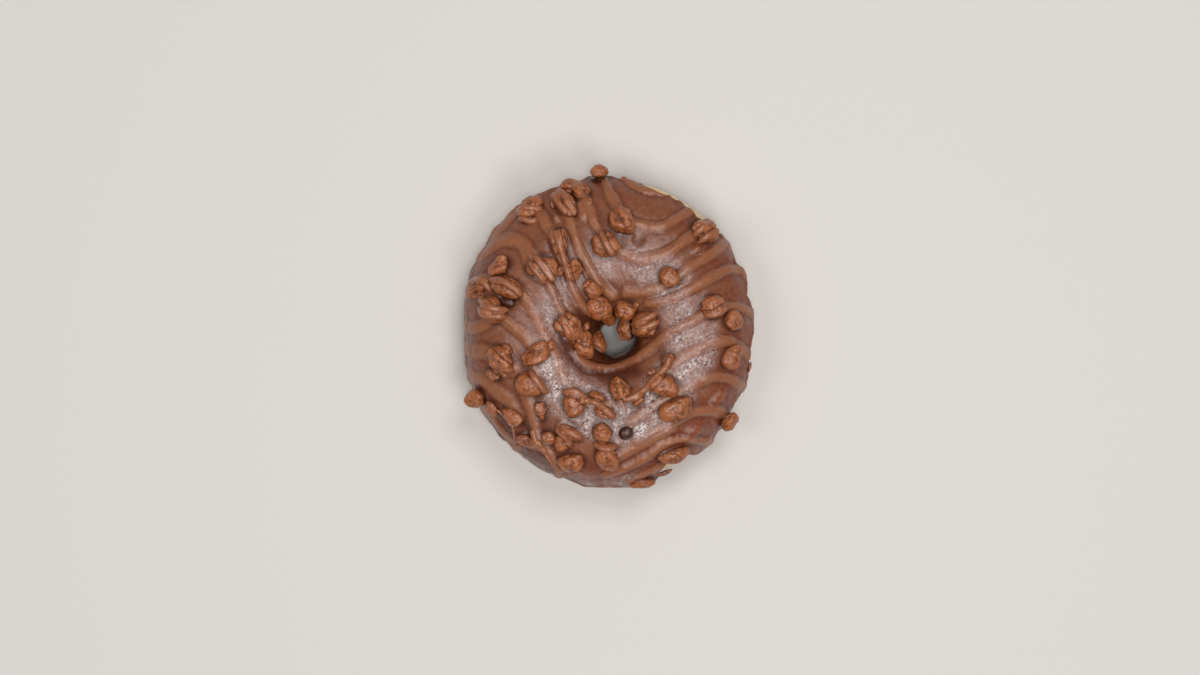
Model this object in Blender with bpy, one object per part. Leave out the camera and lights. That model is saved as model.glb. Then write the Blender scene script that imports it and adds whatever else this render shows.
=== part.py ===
"""A raised ring doughnut, iced in milk chocolate, with drizzle and crisp nuggets.

Two solids rest on each other. The dough is a fat ring with a flat fried base. The icing is a
shell over its upper half, and the drizzle strands and crisp nuggets are fused onto that shell.

The ring is described by two angles. The bearing runs round the hole, from +X towards +Y. The
turn runs round the ring's section: 0 at its outermost point, a quarter turn at the crown, half
a turn at the hole and three quarters at the base. Sizes are in millimetres until a mesh is made.
"""

import math
from collections import namedtuple

import bmesh
import bpy
from mathutils import Matrix, Vector, noise

MM = 0.001

# Dough
DOUGH_WIDTH = 91.4
DOUGH_LENGTH = 97.6
HOLE_RADIUS = 7.2
HOLE_SHIFT = 3.6
HOLE_SHIFT_BEARING = -40
CREST_LEAN = 2.2
WAIST_HEIGHT = 14.0
CROWN_RISE = 16.6
BELLY_DEPTH = 16.4

# Icing
GAP = 0.3
ICING_THICKNESS = 1.3
ICING_LIP = 0.8
ICING_ROOT = 3.0

# Where the icing stops: degrees of turn above the waist outside, and past the waist in the hole
OUTER_EDGE_TURN = 4.0
OUTER_EDGE_SWING = 10.0
HIGHEST_EDGE_BEARING = 38.0
INNER_EDGE_TURN = 192.0
RUN_DEPTH = 15.0
RUN_HALF_WIDTH = 5.0
RUN_BEARINGS = (93, 35, 22, 6, -23, -37, -48, -78, 207, 163)

# Drizzle
STRAND_RADIUS = 1.9
STRAND_SINK = 0.8
STRAND_STEP = 3.6
HIGHEST_CLIMB = 3.4

# Nuggets
NUGGET_FLATNESS = 0.82
NUGGET_ROUGHNESS = 0.3
NUGGET_GRAIN = 1.4
SEED_STEP = 7.0
PROUD = 0.74
SUNKEN = 0.4
LOWEST_SEAT_OUTSIDE = 14.0
LOWEST_SEAT_INSIDE = 157.0
SMALL_NUGGET = 7.9

# Facets
RING_SEGMENTS = 48
DOUGH_ROWS = 18
SKIN_ROWS = 11
ROOT_ROWS = 2
SMALL_BALL = {"subdivisions": 1, "radius": 1.16}
LARGE_BALL = {"subdivisions": 2, "radius": 1.05}
FACETS_KEPT = 0.75
WELD_DISTANCE = 0.01
SHARP_ANGLE = 40.0

Nugget = namedtuple("Nugget", "x y length width turn proud", defaults=(PROUD,))

# Nuggets as seen from above: place, size, bearing of the long side and share that stands proud
NUGGETS = (
    Nugget(-3.2, 51.6, 5.4, 4.8, 80),
    Nugget(-8.4, 44.4, 6.4, 4.6, 110),
    Nugget(-12.2, 45.6, 6.2, 5.4, -30),
    Nugget(-13.9, 40.4, 10.8, 5.6, -52),
    Nugget(-25.0, 38.6, 9.0, 7.0, 80),
    Nugget(-15.4, 28.2, 8.0, 5.4, 100),
    Nugget(-19.6, 19.4, 8.6, 7.4, -50),
    Nugget(-24.0, 19.4, 4.6, 4.0, -60),
    Nugget(-10.9, 18.9, 5.6, 4.6, 60),
    Nugget(-34.6, 19.9, 7.4, 5.4, 25),
    Nugget(-32.2, 13.6, 11.0, 6.2, -22),
    Nugget(-41.6, 13.4, 9.0, 4.8, 10),
    Nugget(-36.4, 6.4, 8.6, 7.6, -30),
    Nugget(4.3, 34.2, 8.4, 7.2, 100),
    Nugget(-0.8, 26.9, 8.4, 7.2, 10),
    Nugget(30.6, 31.5, 9.0, 7.8, -10),
    Nugget(28.0, 25.4, 5.0, 3.6, -10, SUNKEN),
    Nugget(19.3, 16.6, 6.4, 5.8, -20),
    Nugget(32.8, 7.4, 7.6, 6.8, 10),
    Nugget(39.6, 3.0, 7.0, 5.6, -15),
    Nugget(-4.6, 13.0, 6.4, 5.2, 120),
    Nugget(-1.8, 7.0, 9.2, 7.6, -40),
    Nugget(5.2, 6.4, 7.2, 6.4, 30),
    Nugget(5.0, 0.7, 8.0, 4.8, -70),
    Nugget(11.7, 1.8, 8.8, 7.8, 25),
    Nugget(-12.3, 1.2, 8.4, 6.8, -40),
    Nugget(-7.4, -4.2, 7.4, 5.4, -60),
    Nugget(-3.9, -3.6, 6.6, 4.0, 75),
    Nugget(-34.2, -9.2, 8.6, 7.0, -50),
    Nugget(-36.3, -14.0, 4.8, 3.6, -15),
    Nugget(-22.9, -7.7, 9.4, 6.4, 35),
    Nugget(-24.6, -17.2, 8.8, 7.2, -20),
    Nugget(-42.4, -21.6, 8.4, 5.0, 30),
    Nugget(-36.7, -24.8, 5.2, 3.4, 95),
    Nugget(-30.4, -27.2, 7.0, 5.4, -30),
    Nugget(-21.2, -25.3, 5.8, 3.4, 95),
    Nugget(-25.2, -35.0, 8.6, 4.0, -5),
    Nugget(-18.8, -34.0, 4.6, 4.0, -60),
    Nugget(-14.8, -35.4, 5.4, 4.6, -70),
    Nugget(-11.8, -32.2, 6.4, 4.2, -35),
    Nugget(-12.0, -41.8, 8.4, 6.0, 25),
    Nugget(-11.0, -22.8, 8.4, 7.0, -60),
    Nugget(-3.7, -20.8, 5.2, 3.4, -30),
    Nugget(-1.0, -25.8, 6.6, 4.2, -20),
    Nugget(3.6, -18.6, 8.0, 6.0, 110),
    Nugget(9.2, -21.8, 4.4, 3.6, 60),
    Nugget(17.4, -17.4, 9.6, 6.6, -10),
    Nugget(18.6, -9.3, 4.2, 3.6, 100),
    Nugget(21.3, -25.0, 10.8, 6.8, 22),
    Nugget(39.2, -8.0, 8.6, 6.0, 35),
    Nugget(39.4, -29.4, 6.2, 5.2, -80),
    Nugget(-1.8, -32.2, 6.4, 5.6, -60),
    Nugget(-0.4, -40.2, 9.0, 6.6, -75),
    Nugget(34.6, -21.5, 9.0, 5.4, 40, SUNKEN),
    Nugget(27.0, -31.8, 9.4, 5.6, 25, SUNKEN),
    Nugget(20.6, -39.8, 10.2, 4.8, 5),
    Nugget(11.0, -48.6, 7.8, 4.4, -15),
)

# Drizzle routes as seen from above: the nozzle swings across the ring and back
STRANDS = (
    ((-2.4, 49.4), (0.5, 43.5), (4.6, 36.5), (13, 33.6), (21, 35.4), (30, 39.6)),
    ((5.5, 49.2), (8.5, 46.2), (15, 44.2), (25, 43.2)),
    ((-7.5, 46), (-5.2, 38.5), (-1.5, 29), (4, 24.4), (11, 22.4), (18, 24.4), (30.5, 32.2), (36, 34.4)),
    ((-3.8, 48.5), (-2.2, 42.5), (0.3, 38)),
    ((-16.5, 43.5), (-11, 34.5), (-9.6, 27.5), (-6.5, 20), (-2.2, 14), (1.4, 10.6)),
    ((-29, 39), (-21, 36), (-18.3, 31), (-15.6, 24), (-12.6, 16.8), (-9.8, 10.8), (-7, 6)),
    ((-25, 24), (-21.4, 18.8), (-18.4, 14), (-15.8, 8), (-13.6, 3.5), (-10.6, -3)),
    ((-41, 24), (-38, 26.6), (-32.5, 29), (-27.5, 27.6), (-25.2, 24.2)),
    ((-46, 12.6), (-41, 16), (-31.5, 15), (-27, 11.4), (-22.6, 4), (-18.2, -5)),
    ((-18.2, -5), (-16.2, -10), (-13.4, -16), (-7, -22.2), (1, -23.6)),
    ((-41, 4), (-36.2, 5.2), (-32, 2.8), (-27, -2)),
    ((-46.4, -6.2), (-38, -7), (-33.6, -9.6), (-30.4, -12.4)),
    ((-44.6, -14.8), (-40.5, -16.2), (-35.5, -19.6), (-31.5, -23.4), (-28.5, -29)),
    ((-23.6, -11.4), (-22.2, -15), (-20, -19)),
    ((-26, -21), (-23.2, -31.5), (-20.8, -36.5), (-17, -41.6), (-11, -46.4)),
    ((4, -22.4), (10, -18.6), (20.2, -10.8), (28, -6), (35.5, -3.4), (43.6, -7.4)),
    ((-9, -8.8), (-4, -11.2), (2, -11.4), (9, -8.4), (21, 0.2), (31, 6), (41, 7.4), (46, 5)),
    ((12.4, 8.6), (19, 9.6), (26, 13), (33, 17), (39, 19.6), (44, 18.6)),
    ((5.5, 12), (12, 11.8), (18, 14.6), (25, 19.6), (32, 24), (39.2, 27.8)),
    ((6.5, -29.6), (12, -25.6), (17.5, -21.8), (25, -18), (33, -14.8), (42.4, -17.8)),
    ((9, -35.2), (15, -31.8), (27, -26), (34, -25.4), (38.6, -26)),
    ((-1, -46), (6, -43.6), (12, -40.2), (17.6, -36.2), (24, -34.6), (32, -35.2)),
    ((7, -48), (12.6, -45), (18.6, -41.6)),
    ((-46, 1.6), (-42, 1.2), (-38, 3)),
)


def material(name, colour, roughness):
    """A plain Principled finish."""
    made = bpy.data.materials.new(name)
    made.use_nodes = True
    shader = made.node_tree.nodes["Principled BSDF"]
    shader.inputs["Base Color"].default_value = (*colour, 1.0)
    shader.inputs["Roughness"].default_value = roughness
    return made


def outer_radius(bearing):
    """Radius of the dough's outline, a slightly uneven oval."""
    oval = 1 / math.hypot(math.cos(bearing) / (DOUGH_WIDTH / 2), math.sin(bearing) / (DOUGH_LENGTH / 2))
    return oval + 0.3 * math.sin(3 * bearing + 0.6) + 0.2 * math.sin(5 * bearing + 2.0)


def hole_radius(bearing):
    """Distance from the ring's centre to the wall of the hole, which lies off that centre."""
    aside = bearing - math.radians(HOLE_SHIFT_BEARING)
    circle = HOLE_SHIFT * math.cos(aside) + math.sqrt(HOLE_RADIUS**2 - (HOLE_SHIFT * math.sin(aside)) ** 2)
    return circle + 0.2 * math.sin(3 * bearing)


def section(bearing):
    """Middle radius and half width of the ring's section."""
    outer, inner = outer_radius(bearing), hole_radius(bearing)
    return (outer + inner) / 2, (outer - inner) / 2


def rise(bearing, turn):
    """Half height of the section on this side of the waist. The crown is a little uneven."""
    if math.sin(turn) < 0:
        return BELLY_DEPTH
    return CROWN_RISE + 0.5 * math.sin(2 * bearing + 1.0) + 0.3 * math.sin(3 * bearing)


def dough_point(bearing, turn):
    """A point of the dough's surface. The crest leans to the hole, and the ring rests on a flat."""
    middle, half = section(bearing)
    radius = middle + half * math.cos(turn) - CREST_LEAN * math.sin(turn)
    height = WAIST_HEIGHT + rise(bearing, turn) * math.sin(turn)
    return Vector((radius * math.cos(bearing), radius * math.sin(bearing), max(height, 0.0)))


def dough_normal(bearing, turn):
    """The surface's outward direction there."""
    outward = rise(bearing, turn) * math.cos(turn)
    upward = section(bearing)[1] * math.sin(turn) + CREST_LEAN * math.cos(turn)
    return Vector((outward * math.cos(bearing), outward * math.sin(bearing), upward)).normalized()


def icing_edges(bearing):
    """Turns at which the icing stops, outside and in the hole. It hangs lower at each run."""
    swing = math.cos(bearing - math.radians(HIGHEST_EDGE_BEARING))
    outside = OUTER_EDGE_TURN + OUTER_EDGE_SWING * swing + 1.5 * math.sin(7 * bearing)
    reach = RUN_HALF_WIDTH / outer_radius(bearing)
    offsets = (math.remainder(bearing - math.radians(run), math.tau) / reach for run in RUN_BEARINGS)
    outside -= RUN_DEPTH * max(math.exp(-offset * offset) for offset in offsets)
    inside = INNER_EDGE_TURN + 6.0 * math.sin(3 * bearing + 1.0)
    return math.radians(outside), math.radians(inside)


def perch(x, y):
    """Bearing and turn of the icing below a place seen from above, kept on the iced side."""
    bearing = math.atan2(y, x)
    middle, half = section(bearing)
    reach = half + GAP + ICING_THICKNESS
    across = (math.hypot(x, y) - middle) / math.hypot(reach, CREST_LEAN)
    turn = math.acos(max(-1.0, min(1.0, across))) - math.atan2(CREST_LEAN, reach)
    lowest = math.radians(LOWEST_SEAT_OUTSIDE)
    return bearing, max(lowest, min(math.radians(LOWEST_SEAT_INSIDE), turn))


def nugget_place(nugget):
    """The nugget's own axes, sizes and centre as one matrix that carries a unit ball onto it."""
    bearing, turn = perch(nugget.x, nugget.y)
    upward = dough_normal(bearing, turn)
    height = NUGGET_FLATNESS * nugget.width
    lift = GAP + ICING_THICKNESS + (nugget.proud - 0.5) * height
    centre = dough_point(bearing, turn) + upward * lift
    aim = math.radians(nugget.turn)
    along = Vector((math.cos(aim), math.sin(aim), 0.0))
    along = (along - upward * along.dot(upward)).normalized()
    axes = Matrix((along, upward.cross(along), upward)).transposed().to_4x4()
    sizes = Matrix.Diagonal((nugget.length / 2, nugget.width / 2, height / 2, 1.0))
    return Matrix.Translation((nugget.x, nugget.y, centre.z)) @ axes @ sizes


def height_over(place, foot, upward):
    """How far up the line from foot the nugget at this place reaches, or nothing if it misses."""
    inward = place.inverted()
    start = inward @ foot
    step = inward.to_3x3() @ upward
    half_b = start.dot(step)
    spread = half_b * half_b - step.length_squared * (start.length_squared - 1.0)
    if spread <= 0:
        return 0.0
    return (math.sqrt(spread) - half_b) / step.length_squared


def strand_point(x, y, places):
    """Middle of a strand over x, y: half sunk in the icing, or carried over a nugget."""
    bearing, turn = perch(x, y)
    foot, upward = dough_point(bearing, turn), dough_normal(bearing, turn)
    skin = GAP + ICING_THICKNESS
    reach = max(height_over(place, foot, upward) for place in places)
    return foot + upward * (max(skin, min(skin + HIGHEST_CLIMB, reach)) - STRAND_SINK)


def smooth_route(route):
    """Points an even step apart on a smooth curve through the route's own points."""
    ends = (2 * Vector(route[0]) - Vector(route[1]), 2 * Vector(route[-1]) - Vector(route[-2]))
    knots = [ends[0], *(Vector(point) for point in route), ends[1]]
    points = []
    for before, start, end, after in zip(knots, knots[1:], knots[2:], knots[3:]):
        steps = max(1, round((end - start).length / STRAND_STEP))
        for index in range(steps):
            t = index / steps
            bend = (after - end * 3 + start * 3 - before) * t + (before * 2 - start * 5 + end * 4 - after)
            points.append(start + ((bend * t + (end - before)) * t) / 2)
    return [*points, knots[-2]]


def shaped_ring(name, rows, shape):
    """A torus primitive whose vertices move to shape(bearing, row)."""
    bpy.ops.mesh.primitive_torus_add(
        major_segments=RING_SEGMENTS, minor_segments=rows, major_radius=1.0, minor_radius=0.4
    )
    ring = bpy.context.active_object
    ring.name = name
    for vertex in ring.data.vertices:
        x, y, z = vertex.co
        row = math.atan2(z, math.hypot(x, y) - 1.0) / math.tau * rows
        vertex.co = shape(math.atan2(y, x), round(row) % rows) * MM
    return ring


def dough_ring(name, grown=0.0):
    """The dough, or a copy of it grown by a gap to cut its seat."""

    def shape(bearing, row):
        turn = math.tau * row / DOUGH_ROWS
        return dough_point(bearing, turn) + dough_normal(bearing, turn) * grown

    return shaped_ring(name, DOUGH_ROWS, shape)


def icing_ring(name):
    """The icing as a fat crescent whose root sits in the dough until the seat is cut."""

    def shape(bearing, row):
        outside, inside = icing_edges(bearing)
        if row < SKIN_ROWS:
            along = row / (SKIN_ROWS - 1)
            turn = outside + (inside - outside) * along
            swell = (ICING_THICKNESS - ICING_LIP) * math.sqrt(max(0.0, math.sin(math.pi * along)))
            return dough_point(bearing, turn) + dough_normal(bearing, turn) * (GAP + ICING_LIP + swell)
        inner_root = dough_point(bearing, inside) - dough_normal(bearing, inside) * ICING_ROOT
        outer_root = dough_point(bearing, outside) - dough_normal(bearing, outside) * ICING_ROOT
        return inner_root.lerp(outer_root, (row - SKIN_ROWS) / (ROOT_ROWS - 1))

    return shaped_ring(name, SKIN_ROWS + ROOT_ROWS, shape)


def nugget_lump(place, index, small):
    """One crisp nugget: a ball made uneven by noise, with fewer sides if it is small."""
    mesh = bpy.data.meshes.new("nugget")
    lump = bmesh.new()
    bmesh.ops.create_icosphere(lump, **(SMALL_BALL if small else LARGE_BALL))
    seed = Vector((SEED_STEP * index, 0.0, 0.0))
    for vertex in lump.verts:
        swell = 1.0 + NUGGET_ROUGHNESS * noise.noise(vertex.co * NUGGET_GRAIN + seed)
        vertex.co = (place @ (vertex.co * swell)) * MM
    lump.to_mesh(mesh)
    lump.free()
    return bpy.data.objects.new("nugget", mesh)


def strand_tube(route, places):
    """One strand of drizzle as a closed tube along its route."""
    curve = bpy.data.curves.new("strand", "CURVE")
    curve.dimensions = "3D"
    curve.bevel_depth = STRAND_RADIUS * MM
    curve.bevel_resolution = 0
    curve.use_fill_caps = True
    points = [strand_point(point.x, point.y, places) * MM for point in smooth_route(route)]
    spline = curve.splines.new("POLY")
    spline.points.add(len(points) - 1)
    for slot, point in zip(spline.points, points):
        slot.co = (*point, 1.0)
    guide = bpy.data.objects.new("strand guide", curve)
    bpy.context.scene.collection.objects.link(guide)
    evaluated = guide.evaluated_get(bpy.context.evaluated_depsgraph_get())
    mesh = bpy.data.meshes.new_from_object(evaluated)
    bpy.data.objects.remove(guide)
    weld = bmesh.new()
    weld.from_mesh(mesh)
    bmesh.ops.remove_doubles(weld, verts=weld.verts, dist=WELD_DISTANCE * MM)
    weld.to_mesh(mesh)
    weld.free()
    return bpy.data.objects.new("strand", mesh)


def apply_modifiers(part):
    """Replace an object's mesh by what its modifiers make of it."""
    evaluated = part.evaluated_get(bpy.context.evaluated_depsgraph_get())
    mesh = bpy.data.meshes.new_from_object(evaluated)
    part.modifiers.clear()
    part.data = mesh


def keep_largest_body(part):
    """Drop the scraps and sealed hollows that fusing leaves beside the main body."""
    shell = bmesh.new()
    shell.from_mesh(part.data)
    unseen = set(shell.verts)
    bodies = []
    while unseen:
        body = [unseen.pop()]
        for vertex in body:
            near = {edge.other_vert(vertex) for edge in vertex.link_edges} & unseen
            unseen -= near
            body.extend(near)
        bodies.append(body)
    bodies.sort(key=len)
    scraps = [vertex for body in bodies[:-1] for vertex in body]
    bmesh.ops.delete(shell, geom=scraps, context="VERTS")
    bmesh.ops.triangulate(shell, faces=shell.faces)
    shell.to_mesh(part.data)
    shell.free()


def fuse_toppings(icing, toppings):
    """Join the toppings onto the icing by one union, then remove them."""
    union = icing.modifiers.new("toppings", "BOOLEAN")
    union.operation = "UNION"
    union.operand_type = "COLLECTION"
    union.collection = toppings
    union.solver = "MANIFOLD"
    apply_modifiers(icing)
    for topping in list(toppings.objects):
        bpy.data.objects.remove(topping)
    bpy.data.collections.remove(toppings)


def cut_seat(icing, seat):
    """Cut the dough's seat out of the icing, then remove the cutter."""
    cut = icing.modifiers.new("seat", "BOOLEAN")
    cut.operation = "DIFFERENCE"
    cut.object = seat
    cut.solver = "MANIFOLD"
    apply_modifiers(icing)
    bpy.data.objects.remove(seat)


def thin_out_facets(part):
    """Merge the smallest facets, most of them slivers along the seams of the union."""
    fewer = part.modifiers.new("fewer facets", "DECIMATE")
    fewer.ratio = FACETS_KEPT
    apply_modifiers(part)


def centre_on_base(parts):
    """Move the meshes so that the origin lies at the middle of the box they share, at its foot."""
    xs, ys, _ = zip(*(vertex.co for part in parts for vertex in part.data.vertices))
    middle = Vector((min(xs) + max(xs), min(ys) + max(ys), 0.0)) / 2
    for part in parts:
        part.data.transform(Matrix.Translation(-middle))


def main():
    """Build the dough and the icing with its toppings."""
    for old in list(bpy.data.objects):
        bpy.data.objects.remove(old)
    dough = dough_ring("dough")
    icing = icing_ring("icing")
    seat = dough_ring("seat cutter", GAP)

    toppings = bpy.data.collections.new("toppings")
    bpy.context.scene.collection.children.link(toppings)
    places = [nugget_place(nugget) for nugget in NUGGETS]
    for index, (nugget, place) in enumerate(zip(NUGGETS, places)):
        toppings.objects.link(nugget_lump(place, index, nugget.length < SMALL_NUGGET))
    for route in STRANDS:
        toppings.objects.link(strand_tube(route, places))
    fuse_toppings(icing, toppings)
    cut_seat(icing, seat)
    keep_largest_body(icing)
    thin_out_facets(icing)
    centre_on_base((dough, icing))

    doughnut = bpy.data.collections.new("doughnut")
    bpy.context.scene.collection.children.link(doughnut)
    finishes = (
        (dough, material("fried dough", (0.62, 0.36, 0.13), 0.7)),
        (icing, material("milk chocolate", (0.16, 0.055, 0.03), 0.4)),
    )
    for part, finish in finishes:
        for home in part.users_collection:
            home.objects.unlink(part)
        doughnut.objects.link(part)
        part.data.materials.clear()
        part.data.materials.append(finish)
        part.data.shade_smooth()
        part.data.set_sharp_from_angle(angle=math.radians(SHARP_ANGLE))


main()
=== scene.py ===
"""A raised ring doughnut in milk chocolate icing, with drizzle and crisp nuggets, seen from above.

Sizes are in millimetres from the ring's own centre until a mesh is made. The ring is described by
two angles: the bearing runs round the hole from +X towards +Y, and the turn runs round the ring's
section, 0 at its outermost point, a quarter turn at the crown and half a turn in the hole.
"""

import itertools
import logging
import math
from dataclasses import dataclass, field
from enum import Enum
from typing import Any

import bmesh
import bpy
import numpy as np
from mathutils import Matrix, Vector
from mathutils.bvhtree import BVHTree

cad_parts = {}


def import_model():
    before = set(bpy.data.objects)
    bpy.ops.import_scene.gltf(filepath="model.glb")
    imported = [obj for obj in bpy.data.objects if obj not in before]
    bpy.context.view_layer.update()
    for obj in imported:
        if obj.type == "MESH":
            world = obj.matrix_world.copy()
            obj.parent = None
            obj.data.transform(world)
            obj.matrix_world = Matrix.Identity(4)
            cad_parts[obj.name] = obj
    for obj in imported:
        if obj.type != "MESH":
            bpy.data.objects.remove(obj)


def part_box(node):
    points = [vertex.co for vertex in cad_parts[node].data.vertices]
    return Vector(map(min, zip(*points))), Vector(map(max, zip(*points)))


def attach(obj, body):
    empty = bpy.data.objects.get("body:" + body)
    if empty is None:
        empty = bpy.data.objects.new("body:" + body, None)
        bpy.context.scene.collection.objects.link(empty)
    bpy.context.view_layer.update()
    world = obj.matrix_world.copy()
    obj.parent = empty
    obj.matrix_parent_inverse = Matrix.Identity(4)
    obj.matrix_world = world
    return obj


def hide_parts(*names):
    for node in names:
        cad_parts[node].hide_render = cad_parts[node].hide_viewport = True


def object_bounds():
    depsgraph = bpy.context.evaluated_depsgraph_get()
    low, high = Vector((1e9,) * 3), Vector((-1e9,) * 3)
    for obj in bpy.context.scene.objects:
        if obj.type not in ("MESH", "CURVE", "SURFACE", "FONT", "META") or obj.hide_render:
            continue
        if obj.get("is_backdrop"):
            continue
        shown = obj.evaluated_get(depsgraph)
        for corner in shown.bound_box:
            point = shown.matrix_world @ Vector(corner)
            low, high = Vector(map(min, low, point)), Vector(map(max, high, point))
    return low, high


MM = 0.001
TAU = 2 * math.pi
log = logging.getLogger("doughnut")

Array = np.ndarray
Colour = tuple[float, float, float, float]
Piece = bpy.types.Object
Route = tuple[tuple[float, float], ...]


def srgb(red: int, green: int, blue: int) -> Colour:
    """A colour as a painter reads it, turned into the shader's linear values.

    Args:
        red: Red from 0 to 255.
        green: Green from 0 to 255.
        blue: Blue from 0 to 255.

    Returns:
        Linear red, green, blue and an alpha of one.
    """
    shares = [channel / 255 for channel in (red, green, blue)]
    linear = [share / 12.92 if share < 0.0405 else ((share + 0.055) / 1.055) ** 2.4 for share in shares]
    return (*linear, 1.0)


def ease(values: Array, low: float, high: float) -> Array:
    """Smooth step from nought at low to one at high."""
    share = np.clip((values - low) / (high - low), 0.0, 1.0)
    return share * share * (3.0 - 2.0 * share)


def band(values: Array, start: float | Array, full: float | Array, fade: float, end: float) -> Array:
    """Nought up to start, one from full to fade and nought again from end."""
    return ease(values, start, full) * ease(values, end, fade)


def hump(values: Array, width: float, power: int = 2) -> Array:
    """One at nought, falling off over a width, with a flatter top for a higher power."""
    return np.exp(-((values / width) ** power))


def toward(bearing: Array, degrees: float) -> Array:
    """One on the side of a bearing in degrees, minus one on the far side."""
    return np.cos(bearing - math.radians(degrees))


def apart(bearing: Array, degrees: float) -> Array:
    """Angle from a bearing in degrees, within half a turn either way."""
    return np.remainder(bearing - math.radians(degrees) + math.pi, TAU) - math.pi


def grain(points: Array, size: float, seed: int) -> Array:
    """Smooth random values from -1 to 1 that change over a given size.

    Args:
        points: Places, one row each.
        size: Distance over which the values change.
        seed: Which of the many patterns.

    Returns:
        One value for each place.
    """
    scaled = points / size
    cell = np.floor(scaled).astype(np.int64)
    part = scaled - cell
    part = part * part * (3.0 - 2.0 * part)
    total = np.zeros(len(points))
    for corner in itertools.product((0, 1), repeat=3):
        at = cell + np.array(corner)
        code = at[:, 0] * 73856093 ^ at[:, 1] * 19349663 ^ at[:, 2] * 83492791 ^ seed * 2654435761
        code = ((code ^ (code >> 13)) * 1274126177) & 0x7FFFFFFF
        code = (code ^ (code >> 15)) & 0xFFFF
        weight = np.prod(np.where(corner, part, 1.0 - part), axis=1)
        total += weight * (code / 32767.5 - 1.0)
    return total


def layered(points: Array, *layers: tuple[float, float, int]) -> Array:
    """Sum of random patterns, each with its height, its size and its seed."""
    return sum(height * grain(points, size, seed) for height, size, seed in layers)


def distance_to_path(points: Array, path: Array) -> Array:
    """Least distance from each point to a path of straight steps.

    Args:
        points: Places, one row each.
        path: The path's own points, in order.

    Returns:
        One distance for each place.
    """
    nearest = np.full(len(points), np.inf)
    for start, end in zip(path[:-1], path[1:]):
        span = end - start
        along = np.clip((points - start) @ span / max(span @ span, 1e-9), 0.0, 1.0)
        nearest = np.minimum(nearest, np.linalg.norm(points - start - along[:, None] * span, axis=1))
    return nearest


def boxed(points: Array, path: Array, margin: float) -> Array:
    """Which points lie in the box round a path, with a margin."""
    return np.all((points > path.min(axis=0) - margin) & (points < path.max(axis=0) + margin), axis=1)


def smooth_route(route: Route, step: float) -> Array:
    """Points a small step apart on a smooth curve through the route's own points.

    Args:
        route: Points seen from above.
        step: Distance between the points returned.

    Returns:
        The points, one row each.
    """
    knots = np.array(route, float)
    knots = np.vstack((2 * knots[0] - knots[1], knots, 2 * knots[-1] - knots[-2]))
    points = []
    for before, start, end, after in zip(knots, knots[1:], knots[2:], knots[3:]):
        count = max(2, round(float(np.linalg.norm(end - start)) / step))
        for t in np.arange(count) / count:
            bend = (after - 3 * end + 3 * start - before) * t + (2 * before - 5 * start + 4 * end - after)
            points.append(start + (bend * t + (end - before)) * t / 2)
    return np.array([*points, knots[-2]])


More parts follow.
